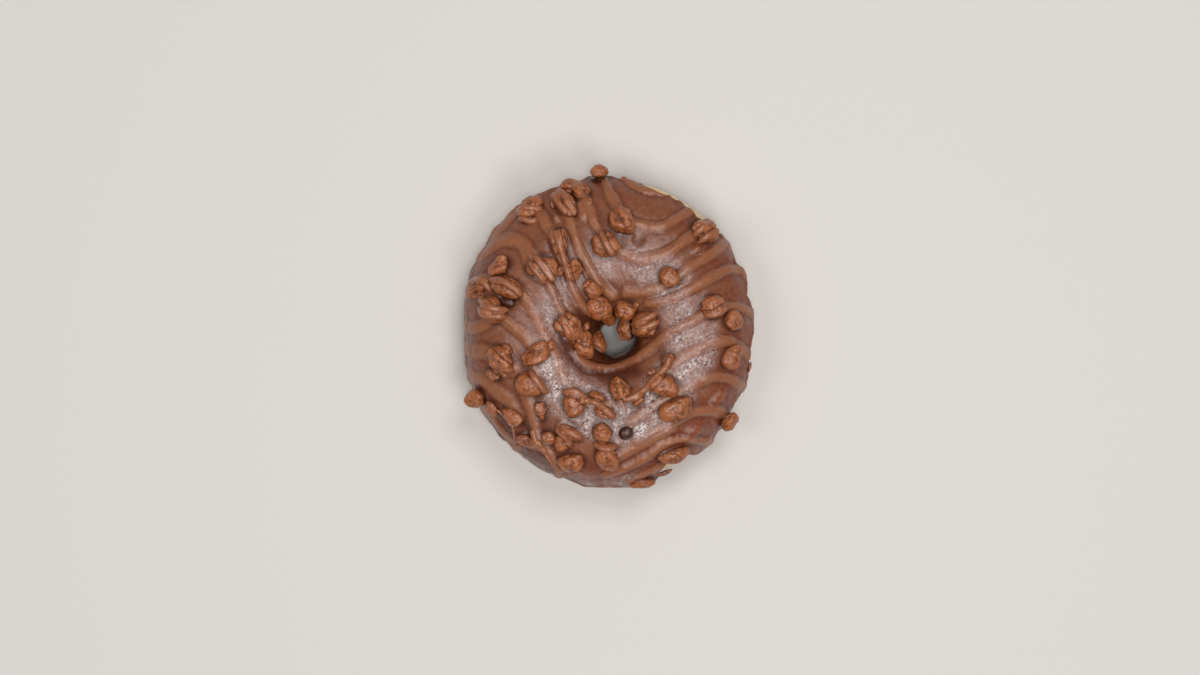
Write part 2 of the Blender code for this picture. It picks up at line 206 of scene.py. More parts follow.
@dataclass(frozen=True)
class RingForm:
    """The form that the dough and the icing share."""

    width: float = 91.4
    length: float = 97.6
    hole: float = 7.2
    hole_shift: float = 3.6
    hole_bearing: float = math.radians(-40.0)
    lean: float = 2.2
    waist: float = 14.0
    crown: float = 16.6
    belly: float = 16.4
    solid_columns: int = 48
    lowest_seat: float = math.radians(14.0)
    deepest_seat: float = math.radians(157.0)

    def outer_radius(self, bearing: Array) -> Array:
        """Radius of the outline, a slightly uneven oval."""
        oval = 1 / np.hypot(np.cos(bearing) / (self.width / 2), np.sin(bearing) / (self.length / 2))
        return oval + 0.3 * np.sin(3 * bearing + 0.6) + 0.2 * np.sin(5 * bearing + 2.0)

    def section(self, bearing: Array) -> tuple[Array, Array]:
        """The section between the outline and the hole, whose round wall lies off the middle.

        Args:
            bearing: Bearings round the hole.

        Returns:
            Middle radius and half width at each.
        """
        outer = self.outer_radius(bearing)
        aside = bearing - self.hole_bearing
        chord = np.sqrt(self.hole ** 2 - (self.hole_shift * np.sin(aside)) ** 2)
        inner = self.hole_shift * np.cos(aside) + chord + 0.2 * np.sin(3 * bearing)
        return (outer + inner) / 2, (outer - inner) / 2

    def rise(self, bearing: Array, turn: Array) -> Array:
        """Half height of the section on this side of the waist."""
        crown = self.crown + 0.5 * np.sin(2 * bearing + 1.0) + 0.3 * np.sin(3 * bearing)
        return np.where(np.sin(turn) < 0, self.belly, crown)

    def points(self, bearing: Array, turn: Array) -> Array:
        """Places on the dough's surface, whose crest leans to the hole and whose base is flat.

        Args:
            bearing: Bearings round the hole.
            turn: Turns round the section.

        Returns:
            Places in millimetres from the ring's centre.
        """
        middle, half = self.section(bearing)
        radius = middle + half * np.cos(turn) - self.lean * np.sin(turn)
        height = np.maximum(self.waist + self.rise(bearing, turn) * np.sin(turn), 0.0)
        return np.stack((radius * np.cos(bearing), radius * np.sin(bearing), height), axis=-1)

    def normals(self, bearing: Array, turn: Array) -> Array:
        """Outward directions at the same places.

        Args:
            bearing: Bearings round the hole.
            turn: Turns round the section.

        Returns:
            Unit directions.
        """
        outward = self.rise(bearing, turn) * np.cos(turn)
        upward = self.section(bearing)[1] * np.sin(turn) + self.lean * np.cos(turn)
        normal = np.stack((outward * np.cos(bearing), outward * np.sin(bearing), upward), axis=-1)
        return normal / np.linalg.norm(normal, axis=-1, keepdims=True)

    def seat(self, x: Array, y: Array, skin: float) -> tuple[Array, Array]:
        """Bearing and turn of the icing below a place seen from above.

        Args:
            x: Place to the right.
            y: Place to the top.
            skin: Height of the icing's surface over the dough.

        Returns:
            The bearing and the turn, kept on the iced side.
        """
        bearing = np.arctan2(y, x)
        middle, half = self.section(bearing)
        reach = half + skin
        across = np.clip((np.hypot(x, y) - middle) / np.hypot(reach, self.lean), -1.0, 1.0)
        turn = np.arccos(across) - np.arctan2(self.lean, reach)
        return bearing, np.clip(turn, self.lowest_seat, self.deepest_seat)

    def offset(self, low: Vector, high: Vector) -> Array:
        """Where the ring's own centre lies in the frame.

        Args:
            low: Lowest corner of the dough's solid.
            high: Its highest corner.

        Returns:
            The centre, in metres.
        """
        bearing = np.arange(self.solid_columns) / self.solid_columns * TAU
        outline = self.points(bearing, np.zeros_like(bearing)) * MM
        own = (outline.min(axis=0) + outline.max(axis=0)) / 2
        return np.array([(low.x + high.x) / 2 - own[0], (low.y + high.y) / 2 - own[1], 0.0])


@dataclass(frozen=True)
class IcingForm:
    """How thick the icing is and where it stops, with runs below its edge and bays that bare the dough."""

    skin: float = 1.6
    bead: float = 0.35
    lip: float = 1.4
    outer_edge: float = 4.8
    swing: float = 15.0
    highest_bearing: float = 38.0
    inner_edge: float = 192.0
    run_depth: float = 15.0
    run_half_width: float = 5.0
    runs: tuple[float, ...] = (93, 35, 22, 6, -23, -37, -48, -78, 207, 163)
    bays: tuple[tuple[float, float, float], ...] = ((-64, 29, 7), (50, 3, 5), (71, 4, 4))
    ripple: float = 1.5
    ragged: float = 1.6
    inner_swing: float = 6.0

    def edges(self, ring: RingForm, bearing: Array) -> tuple[Array, Array]:
        """Where the icing stops, with its runs, its bays and a ragged edge.

        Args:
            ring: The ring below it.
            bearing: Bearings round the hole.

        Returns:
            The turns outside and in the hole.
        """
        outside = self.outer_edge + self.swing * toward(bearing, self.highest_bearing)
        outside = outside + self.ripple * np.sin(7 * bearing)
        reach = self.run_half_width / ring.outer_radius(bearing)
        runs = [hump(apart(bearing, run) / reach, 1.0) for run in self.runs]
        outside = outside - self.run_depth * np.max(runs, axis=0)
        for middle, rise, half_width in self.bays:
            away = apart(bearing, middle) * ring.outer_radius(bearing)
            outside = outside + rise * hump(away, half_width, 4)
        circle = np.stack((np.cos(bearing), np.sin(bearing), 0 * bearing), axis=-1) * ring.width / 2
        outside = outside + self.ragged * layered(circle, (1.0, 4.0, 3), (0.5, 1.9, 4))
        inside = self.inner_edge + self.inner_swing * np.sin(3 * bearing + 1.0)
        return np.radians(outside), np.radians(inside)


class Melt(Enum):
    """How far a strand has sunk into the icing: height, half width and how soft its edge is."""

    CRISP = (1.1, 1.6, 1.0)
    SOFT = (0.95, 1.75, 1.2)
    MELTED = (0.72, 1.9, 1.5)
    BROAD = (0.5, 2.8, 1.8)


@dataclass(frozen=True)
class Strand:
    """One strand of drizzle as it lies on the icing."""

    melt: Melt
    route: Route


@dataclass(frozen=True)
class Nugget:
    """One crisp nugget: place, size, bearing of its long side and the share that stands proud."""

    x: float
    y: float
    length: float
    width: float
    turn: float
    proud: float = 0.74


SUNKEN = 0.4

NUGGETS = tuple(Nugget(*numbers) for numbers in (
    (-3.0, 50.5, 5.6, 5.2, 10, 0.92), (-8.7, 44.4, 7.0, 5.4, 110), (-12.0, 45.6, 6.8, 5.8, -30),
    (-13.9, 40.4, 10.8, 5.6, -52), (-25.0, 38.6, 9.0, 7.0, 80), (-15.4, 27.7, 8.2, 5.6, 100),
    (-19.6, 19.4, 8.6, 7.4, -50), (-24.0, 19.4, 4.6, 4.0, -60), (-10.9, 19.1, 6.4, 5.4, 60),
    (-34.6, 19.9, 7.4, 5.4, 25), (-32.2, 13.6, 11.0, 6.2, -22), (-41.6, 13.4, 9.0, 4.8, 10),
    (-36.4, 6.4, 8.6, 7.6, -30), (4.3, 34.2, 8.4, 7.2, 100), (-0.8, 26.9, 8.4, 7.2, 10),
    (30.6, 31.5, 9.0, 7.8, -10), (28.0, 25.4, 5.0, 3.6, -10, SUNKEN), (19.3, 16.6, 6.4, 5.8, -20),
    (32.8, 7.4, 7.6, 6.8, 10), (39.6, 3.0, 7.0, 5.6, -15), (-4.6, 13.0, 6.4, 5.2, 120),
    (-2.9, 7.2, 8.4, 7.2, -20), (5.2, 6.4, 7.8, 7.0, 30), (5.3, 0.9, 8.0, 6.4, -70),
    (11.7, 1.8, 9.0, 8.0, 25), (-12.3, 1.2, 8.8, 7.2, -40), (-7.7, -4.6, 8.8, 7.0, -60),
    (-3.7, -3.5, 8.0, 6.0, 78), (-34.2, -9.2, 8.6, 7.0, -50), (-36.3, -14.0, 4.8, 3.6, -15),
    (-22.9, -7.7, 9.4, 6.4, 35), (-24.6, -17.2, 8.8, 7.2, -20), (-42.5, -21.7, 5.8, 7.4, 117, 0.84),
    (-36.7, -24.8, 5.2, 3.4, 95), (-30.4, -27.2, 7.0, 5.4, -30), (-21.2, -25.3, 5.8, 3.4, 95),
    (-25.2, -35.0, 8.6, 4.0, -5), (-18.8, -34.0, 4.6, 4.0, -60), (-14.8, -35.4, 5.4, 4.6, -70),
    (-11.8, -32.2, 6.4, 4.2, -35), (-12.0, -41.8, 8.4, 6.0, 25), (-11.0, -22.8, 8.4, 7.0, -60),
    (-3.7, -20.8, 5.2, 3.4, -30), (-1.0, -25.8, 6.6, 4.2, -20), (3.6, -18.6, 8.0, 6.0, 110),
    (9.2, -21.8, 4.4, 3.6, 60), (17.4, -17.4, 9.6, 6.6, -10), (18.6, -9.3, 4.2, 3.6, 100),
    (21.3, -25.0, 10.8, 6.8, 22), (39.2, -8.0, 8.6, 6.0, 35), (38.5, -28.9, 6.4, 5.6, -80, 0.84),
    (-1.8, -32.2, 6.4, 5.6, -60), (-0.4, -40.2, 9.0, 6.6, -75), (34.6, -21.5, 9.0, 5.4, 40, SUNKEN),
    (27.0, -31.8, 9.4, 5.6, 25, SUNKEN), (20.6, -39.8, 10.2, 4.8, 5), (11.0, -48.6, 7.8, 4.4, -15),
))

CRISP, SOFT, MELTED, BROAD = Melt
STRANDS = tuple(Strand(*row) for row in (

    (SOFT, ((-2.2, 50.2), (-0.6, 46.5), (1.6, 41.5), (4.6, 36.5), (6.5, 34.6))),
    (SOFT, ((6.5, 34.6), (12, 33.2), (17.5, 33.4), (23, 36.4), (28.5, 39.4))),
    (SOFT, ((5.5, 49.8), (8, 46.4), (15, 44.2), (24.5, 43.6))),
    (SOFT, ((-8.2, 43), (-6.2, 38.5), (-3.6, 32.5), (-0.5, 27.5))),
    (MELTED, ((0.5, 27.5), (4, 24.4), (11, 22.4), (18, 24.4), (25.5, 29.4), (31, 32.6), (36, 34.8))),
    (MELTED, ((-14.5, 40), (-12.6, 36), (-10.8, 30.5), (-8.8, 25), (-5.4, 19), (-2.2, 14), (1.4, 10.8))),
    (MELTED, ((-29, 39.2), (-25, 38.2), (-21, 36), (-18.3, 31.2))),
    (SOFT, ((-18.3, 31.2), (-15.6, 24), (-12.6, 16.8), (-9.8, 10.8), (-6.8, 6))),
    (CRISP, ((-25, 24), (-21.4, 18.8), (-18.4, 14), (-15.8, 8), (-13.6, 3.5), (-11.4, -2.2))),
    (BROAD, ((-41, 24.5), (-38, 26.4), (-33.5, 28.8), (-28.5, 28.2), (-25.2, 24.6), (-23, 19))),
    (MELTED, ((-46.2, 13), (-42.5, 15.8), (-37, 16.3), (-31.5, 15), (-27, 11.4))),
    (MELTED, ((-27, 11.4), (-23, 5), (-19.2, -3), (-16.6, -8.5), (-14, -15), (-11.5, -19.5))),
    (MELTED, ((-11.5, -19.5), (-7, -22.2), (0.5, -23.6))),
    (MELTED, ((-46.6, 1.6), (-42, 1), (-38, 3), (-36.2, 5.2), (-32, 2.8), (-27, -1.5), (-24, -5))),
    (BROAD, ((-46.8, -6.2), (-42, -6.6), (-37, -7.2), (-33.6, -9.6), (-30.6, -12.2))),
    (BROAD, ((-45, -15), (-40.5, -16.2), (-35.5, -19.6), (-31.5, -23.2), (-29, -27.5))),
    (SOFT, ((-23.6, -11.6), (-22.2, -15), (-20, -18.8))),
    (MELTED, ((-26, -21), (-25, -25), (-23.4, -29.6))),
    (CRISP, ((-24.2, -30.2), (-22.6, -33.8), (-20.2, -37.2), (-17.6, -40.8), (-15.4, -44.2))),
    (CRISP, ((-15, -30.2), (-12, -31.8), (-8.6, -33.6))),
    (SOFT, ((3.6, -22.4), (10, -18.6), (15, -14), (20.4, -10.6))),
    (MELTED, ((20.4, -10.6), (28, -6), (35.5, -3.4), (41, -4.4), (44.8, -8))),
    (SOFT, ((-10, -7), (-8, -9.6), (-4, -11.4), (2, -11.4), (9, -8.4), (15, -4.2), (21, 0.2), (27, 3.4))),
    (MELTED, ((27, 3.4), (31, 5.6), (36.5, 7.2), (42, 7.4), (46.5, 5.2))),
    (SOFT, ((12.4, 8.4), (19, 9.6), (26, 13), (33, 17), (39, 19.6), (44.6, 18.6))),
    (MELTED, ((5.5, 11.6), (11.5, 11.8), (18, 14.6), (25, 19.6), (32, 24), (37.2, 27.8), (40, 28.2))),
    (MELTED, ((6.5, -29.6), (12, -25.6), (17.5, -21.8), (25, -18), (32, -15), (38, -15.2), (43.2, -18))),
    (MELTED, ((9, -35.2), (15, -31.8), (21, -28.6), (27, -26), (34, -25.6), (39, -28))),
    (MELTED, ((3, -40.4), (9, -37), (15, -33.8), (20, -31))),
    (SOFT, ((-1, -46), (6, -43.6), (12, -40.4), (17.6, -36.2), (24, -34.6), (32.2, -35.8))),
    (MELTED, ((7, -48.4), (12.6, -45.4), (18.6, -42))),
    (MELTED, ((-9, 40), (-8, 36.5))),
    (BROAD, ((-41, -26), (-36, -32.5), (-31, -38.6))),
    (BROAD, ((-36, 31.4), (-33, 34.4), (-30.6, 37.2))),
))

# Crumbs and nubs too small for the solids
CRUMBS = tuple(Nugget(*numbers) for numbers in (
    (-17.3, 40.0, 2.9, 2.4, 60), (-16.5, 35.6, 3.6, 2.8, 20, SUNKEN), (-15.3, 18.8, 3.4, 2.9, 0),
    (13.9, -13.2, 3.0, 2.4, 40), (-6.3, 14.8, 3.2, 2.6, 30), (-40.8, 11.0, 5.4, 4.0, -35),
    (-32.2, -6.6, 4.8, 3.6, 70), (-18.3, -5.0, 4.4, 3.0, 60), (18.0, -45.4, 5.4, 1.7, 28),
    (45.2, -11.5, 3.0, 1.2, 80), (4.9, 48.6, 1.5, 1.3, 0), (33.5, 32.8, 2.4, 1.8, 60),
    (-28.5, -36.6, 2.8, 1.6, 40), (-7.2, 1.2, 3.4, 2.2, 60), (8.8, 8.0, 2.4, 1.9, 70),
    (-6.0, 40.6, 2.4, 2.0, 80), (-0.3, 4.0, 6.6, 4.8, -62),
))

# Glossy blisters in the icing, dark all over with painted shade
BLISTERS = tuple(Nugget(*numbers) for numbers in (
    (5.5, -32.3, 4.8, 4.2, 30, 0.5), (-31.8, 8.9, 5.2, 3.4, -15, 0.3),
))

# Hollows in the icing: place, radius, depth and painted shade
MARKS = (
    (9.5, 28.5, 2.4, 0.8, 0.3),
    (5.5, -32.3, 2.9, 0.5, 0.4),
    (-31.6, 9.0, 3.0, 0.8, 0.6),
    (-25.8, -31.2, 2.3, 0.8, 0.55),
)

# Ridges of drizzle that lie over nuggets or bridge from one to the next
OVERLAYS = (
    ((-29.2, 37.6), (-25.2, 37.2), (-21, 38.4)),
    ((-27.6, 35.2), (-25, 34.6), (-22.6, 35.4)),
    ((-16.4, 44.2), (-13.4, 41.2), (-10.6, 37)),
    ((-17.4, 42.6), (-15.4, 39.4), (-12.8, 36.4)),
    ((-14.8, 46.2), (-11.4, 45.8), (-8.2, 42.8)),
    ((-16.2, 31), (-14.8, 25.4), (-13.4, 20.4), (-12, 15.8)),
    ((-22.8, 23.2), (-20, 19.6), (-17.2, 15.4)),
    ((-24.4, 21.2), (-22.2, 18), (-19.6, 14.8)),
    ((-37.6, 15.6), (-34, 15.8), (-30, 13.6), (-26.8, 10.8)),
    ((-46, 13.2), (-43.2, 15.8), (-39.4, 15.6), (-37.4, 12.4)),
    ((-41, 7.6), (-37.4, 4.6), (-32, 4.2)),
    ((-40.2, 10), (-36, 6.8), (-31.6, 6.4)),
    ((2.8, 38.0), (4.8, 36.0), (6.0, 33.4)),
    ((-2.6, 31), (-0.8, 27), (1.4, 23.4)),
    ((26.6, 29.6), (30, 32), (33.4, 33.6)),
    ((28.6, 27.8), (31.4, 29.4), (34.2, 30.8)),
    ((29.8, 4.8), (33, 5), (36.4, 7.2)),
    ((9.0, 1.8), (11.4, 3.2), (15.2, 5.4)),
    ((9.8, -0.8), (12.6, 0.5), (16.0, 3.0)),
    ((-15.4, 4.6), (-13.4, 1), (-11.8, -3.4)),
    ((-12.6, 4.8), (-10.8, 1.4), (-9.2, -2.8)),
    ((-37, -6.6), (-34, -9.4), (-29.6, -13)),
    ((-38, -9.6), (-35.4, -12), (-32, -14.8)),
    ((-24.6, -12.4), (-22.4, -15.4), (-19.2, -19.8)),
    ((-14.6, -19.4), (-11, -19.4), (-7.2, -21.6)),
    ((-7.8, -22), (-3, -23.4), (1.6, -27.2)),
    ((5.4, -22.4), (9, -20.6), (12.2, -18.2), (15.4, -15), (18.6, -11.2), (19.6, -8.4)),
    ((-16.6, -31), (-13.4, -33.2), (-11.6, -36)),
    ((-15, -29.6), (-12, -31.6), (-8, -33.6)),
    ((-24, -31), (-22.4, -35), (-19.4, -38.6)),
    ((-4.8, -35.6), (-1, -36.6), (2.6, -36.2)),
)

# Painted shade, over red thin icing, in the valley outside the lip strand, below and left of the hole
VALLEY = ((-14.6, -2.5), (-13.0, -7.0), (-9.0, -11.2), (-3.5, -13.6), (2.5, -14.2), (8.0, -12.6))

# Where a thin film of icing ends in a bright edge, at the lower left
LEDGE = (
    (-35.4, -25.0), (-33.2, -27.6), (-31.2, -29.6), (-30.0, -32.4), (-29.2, -35.2), (-25.6, -37),
    (-21, -38.2), (-18.4, -40.6), (-16.6, -43.4), (-14.6, -45.8), (-12.4, -46.4), (-9.4, -45),
)


class Signal:
    """A shader socket that can be used in an expression."""

    def __init__(self, graph: "Graph", socket: bpy.types.NodeSocket) -> None:
        """Keep the socket and the graph that it belongs to."""
        self.graph = graph
        self.socket = socket

    def __add__(self, other: "Value") -> "Signal":
        """Sum."""
        return self.graph.maths("ADD", self, other)

    def __sub__(self, other: "Value") -> "Signal":
        """Difference."""
        return self.graph.maths("SUBTRACT", self, other)

    def __rsub__(self, other: "Value") -> "Signal":
        """Difference from a number."""
        return self.graph.maths("SUBTRACT", other, self)

    def __mul__(self, other: "Value") -> "Signal":
        """Product."""
        return self.graph.maths("MULTIPLY", self, other)

    __radd__ = __add__
    __rmul__ = __mul__


Value = Signal | float


class Graph:
    """The node tree of one material, written as expressions."""

    def __init__(self, name: str) -> None:
        """Start an empty material.

        Args:
            name: Name of the material.
        """
        self.material = bpy.data.materials.new(name)
        self.material.use_nodes = True
        self.tree = self.material.node_tree
        self.tree.nodes.clear()

    def node(
        self, kind: str, settings: dict[str, Any], inputs: dict[Any, Any], output: int | str = 0
    ) -> Signal:
        """Add one node.

        Args:
            kind: The node's type.
            settings: Its properties, set before the sockets.
            inputs: A value or a signal for each socket, by name or number.
            output: The socket to hand back.

        Returns:
            The output socket.
        """
        made = self.tree.nodes.new(kind)
        for name, value in settings.items():
            setattr(made, name, value)
        for name, value in inputs.items():
            if isinstance(value, Signal):
                self.tree.links.new(value.socket, made.inputs[name])
            else:
                made.inputs[name].default_value = value
        return Signal(self, made.outputs[output] if made.outputs else None)

    def maths(self, operation: str, first: Value, second: Value) -> Signal:
        """One step of arithmetic."""
        return self.node("ShaderNodeMath", {"operation": operation}, {0: first, 1: second})

    def clamp(self, value: Signal) -> Signal:
        """The value kept between nought and one."""
        return self.node("ShaderNodeClamp", {}, {"Value": value})

    def ramp(self, value: Signal, low: float, high: float) -> Signal:
        """Smooth step from nought at low to one at high."""
        settings = {"interpolation_type": "SMOOTHSTEP"}
        return self.node("ShaderNodeMapRange", settings, {"Value": value, "From Min": low, "From Max": high})

    def mix(self, first: Colour | Signal, second: Colour | Signal, share: Value) -> Signal:
        """Blend of two colours."""
        return self.node("ShaderNodeMix", {"data_type": "RGBA"}, {0: share, 6: first, 7: second}, 2)

    def attribute(self, name: str) -> Signal:
        """A number stored on the mesh."""
        return self.node("ShaderNodeAttribute", {"attribute_name": name}, {}, "Fac")

    def noise(self, size: float, detail: float, roughness: float, seed: float) -> Signal:
        """Cloudy pattern on Object coordinates.

        Args:
            size: Size of its patches in millimetres.
            detail: Layers of finer patches.
            roughness: Strength of the finer layers.
            seed: Shift to another pattern.

        Returns:
            Values round a half.
        """
        place = self.node("ShaderNodeTexCoord", {}, {}, "Object")
        place = self.node("ShaderNodeVectorMath", {"operation": "ADD"}, {0: place, 1: (seed, seed, seed)})
        inputs = {"Vector": place, "Scale": 1 / (size * MM), "Detail": detail, "Roughness": roughness}
        return self.node("ShaderNodeTexNoise", {}, inputs, 0)

    def height(self) -> Signal:
        """Height over the floor in metres."""
        place = self.node("ShaderNodeTexCoord", {}, {}, "Object")
        return self.node("ShaderNodeSeparateXYZ", {}, {0: place}, "Z")

    def bump(self, height: Signal, depth: float, below: Signal | None = None) -> Signal:
        """Fine relief.

        Args:
            height: Pattern from nought to one.
            depth: Its depth in millimetres.
            below: Coarser relief that it rides on.

        Returns:
            The bent normal.
        """
        inputs: dict[Any, Any] = {"Height": height, "Distance": depth * MM, "Strength": 1.0}
        if below is not None:
            inputs["Normal"] = below
        return self.node("ShaderNodeBump", {}, inputs)

    def finish(self, settings: dict[str, Any]) -> bpy.types.Material:
        """Close the tree with a Principled shader.

        Args:
            settings: A value or a signal for each of its sockets.

        Returns:
            The material.
        """
        shader = self.node("ShaderNodeBsdfPrincipled", {}, settings)
        self.node("ShaderNodeOutputMaterial", {}, {"Surface": shader})
        return self.material


@dataclass(frozen=True)
class ChocolateFinish:
    """Milk chocolate of the icing: lighter on the drizzle, red where it is thin, with painted shade round
    the nuggets, in the hole and below the ledge, and pale sugar frosting under a painted sheen on the crest.
    """

    flat: Colour = srgb(131, 79, 53)
    deep: Colour = srgb(108, 61, 39)
    drizzle: Colour = srgb(150, 92, 60)
    # Red of thin icing, also laid as painted shade below the ledge, in the valley and along strand borders
    thin_and_shade: Colour = srgb(114, 45, 18)
    # Painted shade: the dark colour laid round nugget feet, in the hole, in the valley, along strand borders
    # and below the ledge
    foot: Colour = srgb(68, 29, 14)
    # Pale sugar frosting that also stands for the painted sheen of the softboxes on the crest
    frost_and_sheen: Colour = srgb(192, 176, 173)
    # Painted shade in hollows and deep in the hole
    pit_shade: Colour = srgb(62, 31, 20)
    roughness: float = 0.36
    crust_roughness: float = 0.2
    swell: float = 0.22
    crystal_depth: float = 0.6

    def material(self) -> bpy.types.Material:
        """The icing's material, which reads the masks stored on its mesh.

        Returns:
            The material.
        """
        graph = Graph("milk chocolate icing")
        strand, thin_and_shade, foot = graph.attribute("strand"), graph.attribute("thin_and_shade"), graph.attribute("foot")
        bloom_and_sheen, pit_shade = graph.attribute("bloom_and_sheen"), graph.attribute("pit_shade")
        clouds = graph.ramp(graph.noise(7.0, 3.0, 0.5, 0.0), 0.4, 0.7)
        mottle = graph.noise(1.1, 3.0, 0.6, 0.4)
        grit = graph.ramp(mottle, 0.4, 0.62)
        colour = graph.mix(self.flat, self.deep, graph.clamp(clouds * 0.7 + grit * 0.3))
        colour = graph.mix(colour, self.thin_and_shade, graph.clamp(thin_and_shade * (grit * 0.75 + 0.3)))
        colour = graph.mix(colour, self.drizzle, graph.ramp(strand, 0.05, 0.75) * (0.8 - grit * 0.3))
        # Painted shade from the foot mask
        colour = graph.mix(colour, self.foot, foot * 0.9)
        crack = graph.ramp(graph.noise(1.1, 3.0, 0.6, 1.3), 0.46, 0.39)
        glint = graph.ramp(graph.noise(1.3, 2.0, 0.6, 2.1), 0.5, 0.58)
        thick = graph.ramp(graph.noise(3.6, 2.0, 0.5, 3.3), 0.44, 0.6)
        fleck = graph.ramp(graph.noise(0.75, 3.0, 0.7, 0.9), 0.49, 0.56) * (thick * 0.46 + 0.24)
        # Frosting and painted sheen: pale flecks over the crest
        colour = graph.mix(colour, self.frost_and_sheen, bloom_and_sheen * (fleck + thick * 0.08 + 0.2))
        # Dark cracks in the frosting, in the painted shade colour
        colour = graph.mix(colour, self.foot, bloom_and_sheen * crack * (thick * 0.6 + 0.4))
        colour = graph.mix(colour, self.pit_shade, pit_shade)
        swell = graph.bump(graph.noise(2.6, 3.0, 0.5, 0.2), self.swell)
        crystals = graph.noise(1.4, 3.0, 0.6, 0.7) * (bloom_and_sheen * 0.8 + 0.2)
        gloss = bloom_and_sheen * 0.13 + pit_shade * 0.2 + foot * 0.06
        return graph.finish({
            "Base Color": colour,
            "Roughness": graph.clamp(self.roughness + (mottle - 0.5) * 0.25 - gloss),
            "Normal": graph.bump(crystals, self.crystal_depth, swell),
            "Coat Weight": graph.clamp(bloom_and_sheen * glint * (thick * 0.7 + 0.5)),
            "Coat Roughness": self.crust_roughness,
        })


@dataclass(frozen=True)
class CoatedFinish:
    """Milk chocolate over crisp pieces, and the drizzle on them, with painted shade in the creases, grooves,
    folds and round the foot.
    """

    name: str
    face: Colour = srgb(166, 98, 57)
    warm: Colour = srgb(158, 86, 45)
    # Painted shade for creases, grooves, folds and nugget feet
    crease_shade: Colour = srgb(66, 27, 14)
    roughness: float = 0.32
    relief: float = 0.42
    glaze: float = 0.2
    glaze_roughness: float = 0.1

    def material(self) -> bpy.types.Material:
        """The material, which reads the creases stored on the mesh.

        Returns:
            The material.
        """
        graph = Graph(self.name)
        clouds = graph.noise(3.2, 3.0, 0.55, 0.3)
        specks = graph.ramp(graph.noise(0.7, 3.0, 0.6, 0.6), 0.6, 0.75) * 0.12
        colour = graph.mix(self.face, self.warm, graph.ramp(clouds, 0.35, 0.65))
        colour = graph.mix(colour, self.crease_shade, graph.clamp(graph.attribute("crease_shade") + specks))
        swell = graph.bump(graph.noise(1.3, 3.0, 0.55, 0.5), self.relief)
        return graph.finish({
            "Base Color": colour,
            "Roughness": graph.clamp(self.roughness + (clouds - 0.5) * 0.25),
            "Normal": graph.bump(graph.noise(0.75, 2.0, 0.6, 0.8), self.relief / 2, swell),
            "Coat Weight": self.glaze,
            "Coat Roughness": self.glaze_roughness,
        })


@dataclass(frozen=True)
class DoughFinish:
    """Fried dough: golden brown, with a pale band round the waist where it floated."""

    pale: Colour = srgb(236, 205, 150)
    cream: Colour = srgb(244, 222, 178)
    golden: Colour = srgb(196, 128, 62)
    brown: Colour = srgb(150, 84, 36)
    band_middle: float = 14.5
    band_half: float = 4.6
    band_fade: float = 2.6
    waver: float = 5.0
    wrinkle_depth: float = 0.3
    pore_depth: float = 0.12
    roughness: float = 0.72

    def material(self) -> bpy.types.Material:
        """The dough's material.

        Returns:
            The material.
        """
        graph = Graph("fried dough")
        clouds = graph.noise(9.0, 4.0, 0.55, 0.1)
        blotch = graph.noise(3.0, 4.0, 0.6, 0.5)
        pores = graph.noise(0.7, 3.0, 0.6, 0.8)
        over_band = graph.height() + (clouds - 0.5) * (self.waver * MM) - self.band_middle * MM
        off_band = graph.node("ShaderNodeMath", {"operation": "ABSOLUTE"}, {0: over_band})
        fried = graph.ramp(off_band, self.band_half * MM, (self.band_half + self.band_fade) * MM)
        crust = graph.mix(self.golden, self.brown, graph.ramp(blotch, 0.35, 0.75))
        pale = graph.mix(self.pale, self.cream, graph.ramp(blotch, 0.4, 0.65))
        colour = graph.mix(pale, crust, fried)
        colour = graph.mix(colour, self.brown, graph.ramp(pores, 0.62, 0.78) * 0.3 * fried)
        wrinkle = graph.bump(graph.noise(1.6, 4.0, 0.6, 0.2), self.wrinkle_depth)
        return graph.finish({
            "Base Color": colour,
            "Roughness": graph.clamp(self.roughness - fried * 0.16 + (blotch - 0.5) * 0.2),
            "Normal": graph.bump(pores, self.pore_depth, wrinkle),
        })


def mesh_object(name: str, corners: Array, faces: Array, offset: Array) -> Piece:
    """A smooth mesh whose place is in its corners.

    Args:
        name: Name of the piece.
        corners: Corners in millimetres from the ring's centre.
        faces: Corner numbers of each face.
        offset: Where the ring's centre lies in the frame, in metres.

    Returns:
        The object, linked to the scene.
    """
    mesh = bpy.data.meshes.new(name)
    mesh.from_pydata((corners * MM + offset).tolist(), [], faces.tolist())
    mesh.shade_smooth()
    mesh.update()
    return linked(name, mesh)


def linked(name: str, data: bpy.types.ID) -> Piece:
    """Put data into the scene.

    Args:
        name: Name of the object.
        data: Its mesh, lamp or camera.

    Returns:
        The object.
    """
    made = bpy.data.objects.new(name, data)
    bpy.context.scene.collection.objects.link(made)
    return made


def store(piece: Piece, name: str, values: Array) -> None:
    """Keep one number for each corner of the mesh, for its material."""
    layer = piece.data.attributes.new(name, "FLOAT", "POINT")
    layer.data.foreach_set("value", values.astype(np.float32))


def ring_grid(columns: int, across: Array) -> tuple[Array, Array]:
    """Every bearing round the hole with every value across the section, as two flat lists."""
    bearing, across = np.meshgrid(np.arange(columns) / columns * TAU, across, indexing="ij")
    return bearing.ravel(), across.ravel()


def ring_faces(columns: int, rows: int) -> Array:
    """Faces of a closed grid.

    Args:
        columns: Steps round the hole.
        rows: Steps round the section.

    Returns:
        Corner numbers of each face.
    """
    column, row = np.meshgrid(np.arange(columns), np.arange(rows), indexing="ij")
    beside, above = (column + 1) % columns, (row + 1) % rows
    corners = (column * rows + row, beside * rows + row, beside * rows + above, column * rows + above)
    return np.stack(corners, axis=-1).reshape(-1, 4)


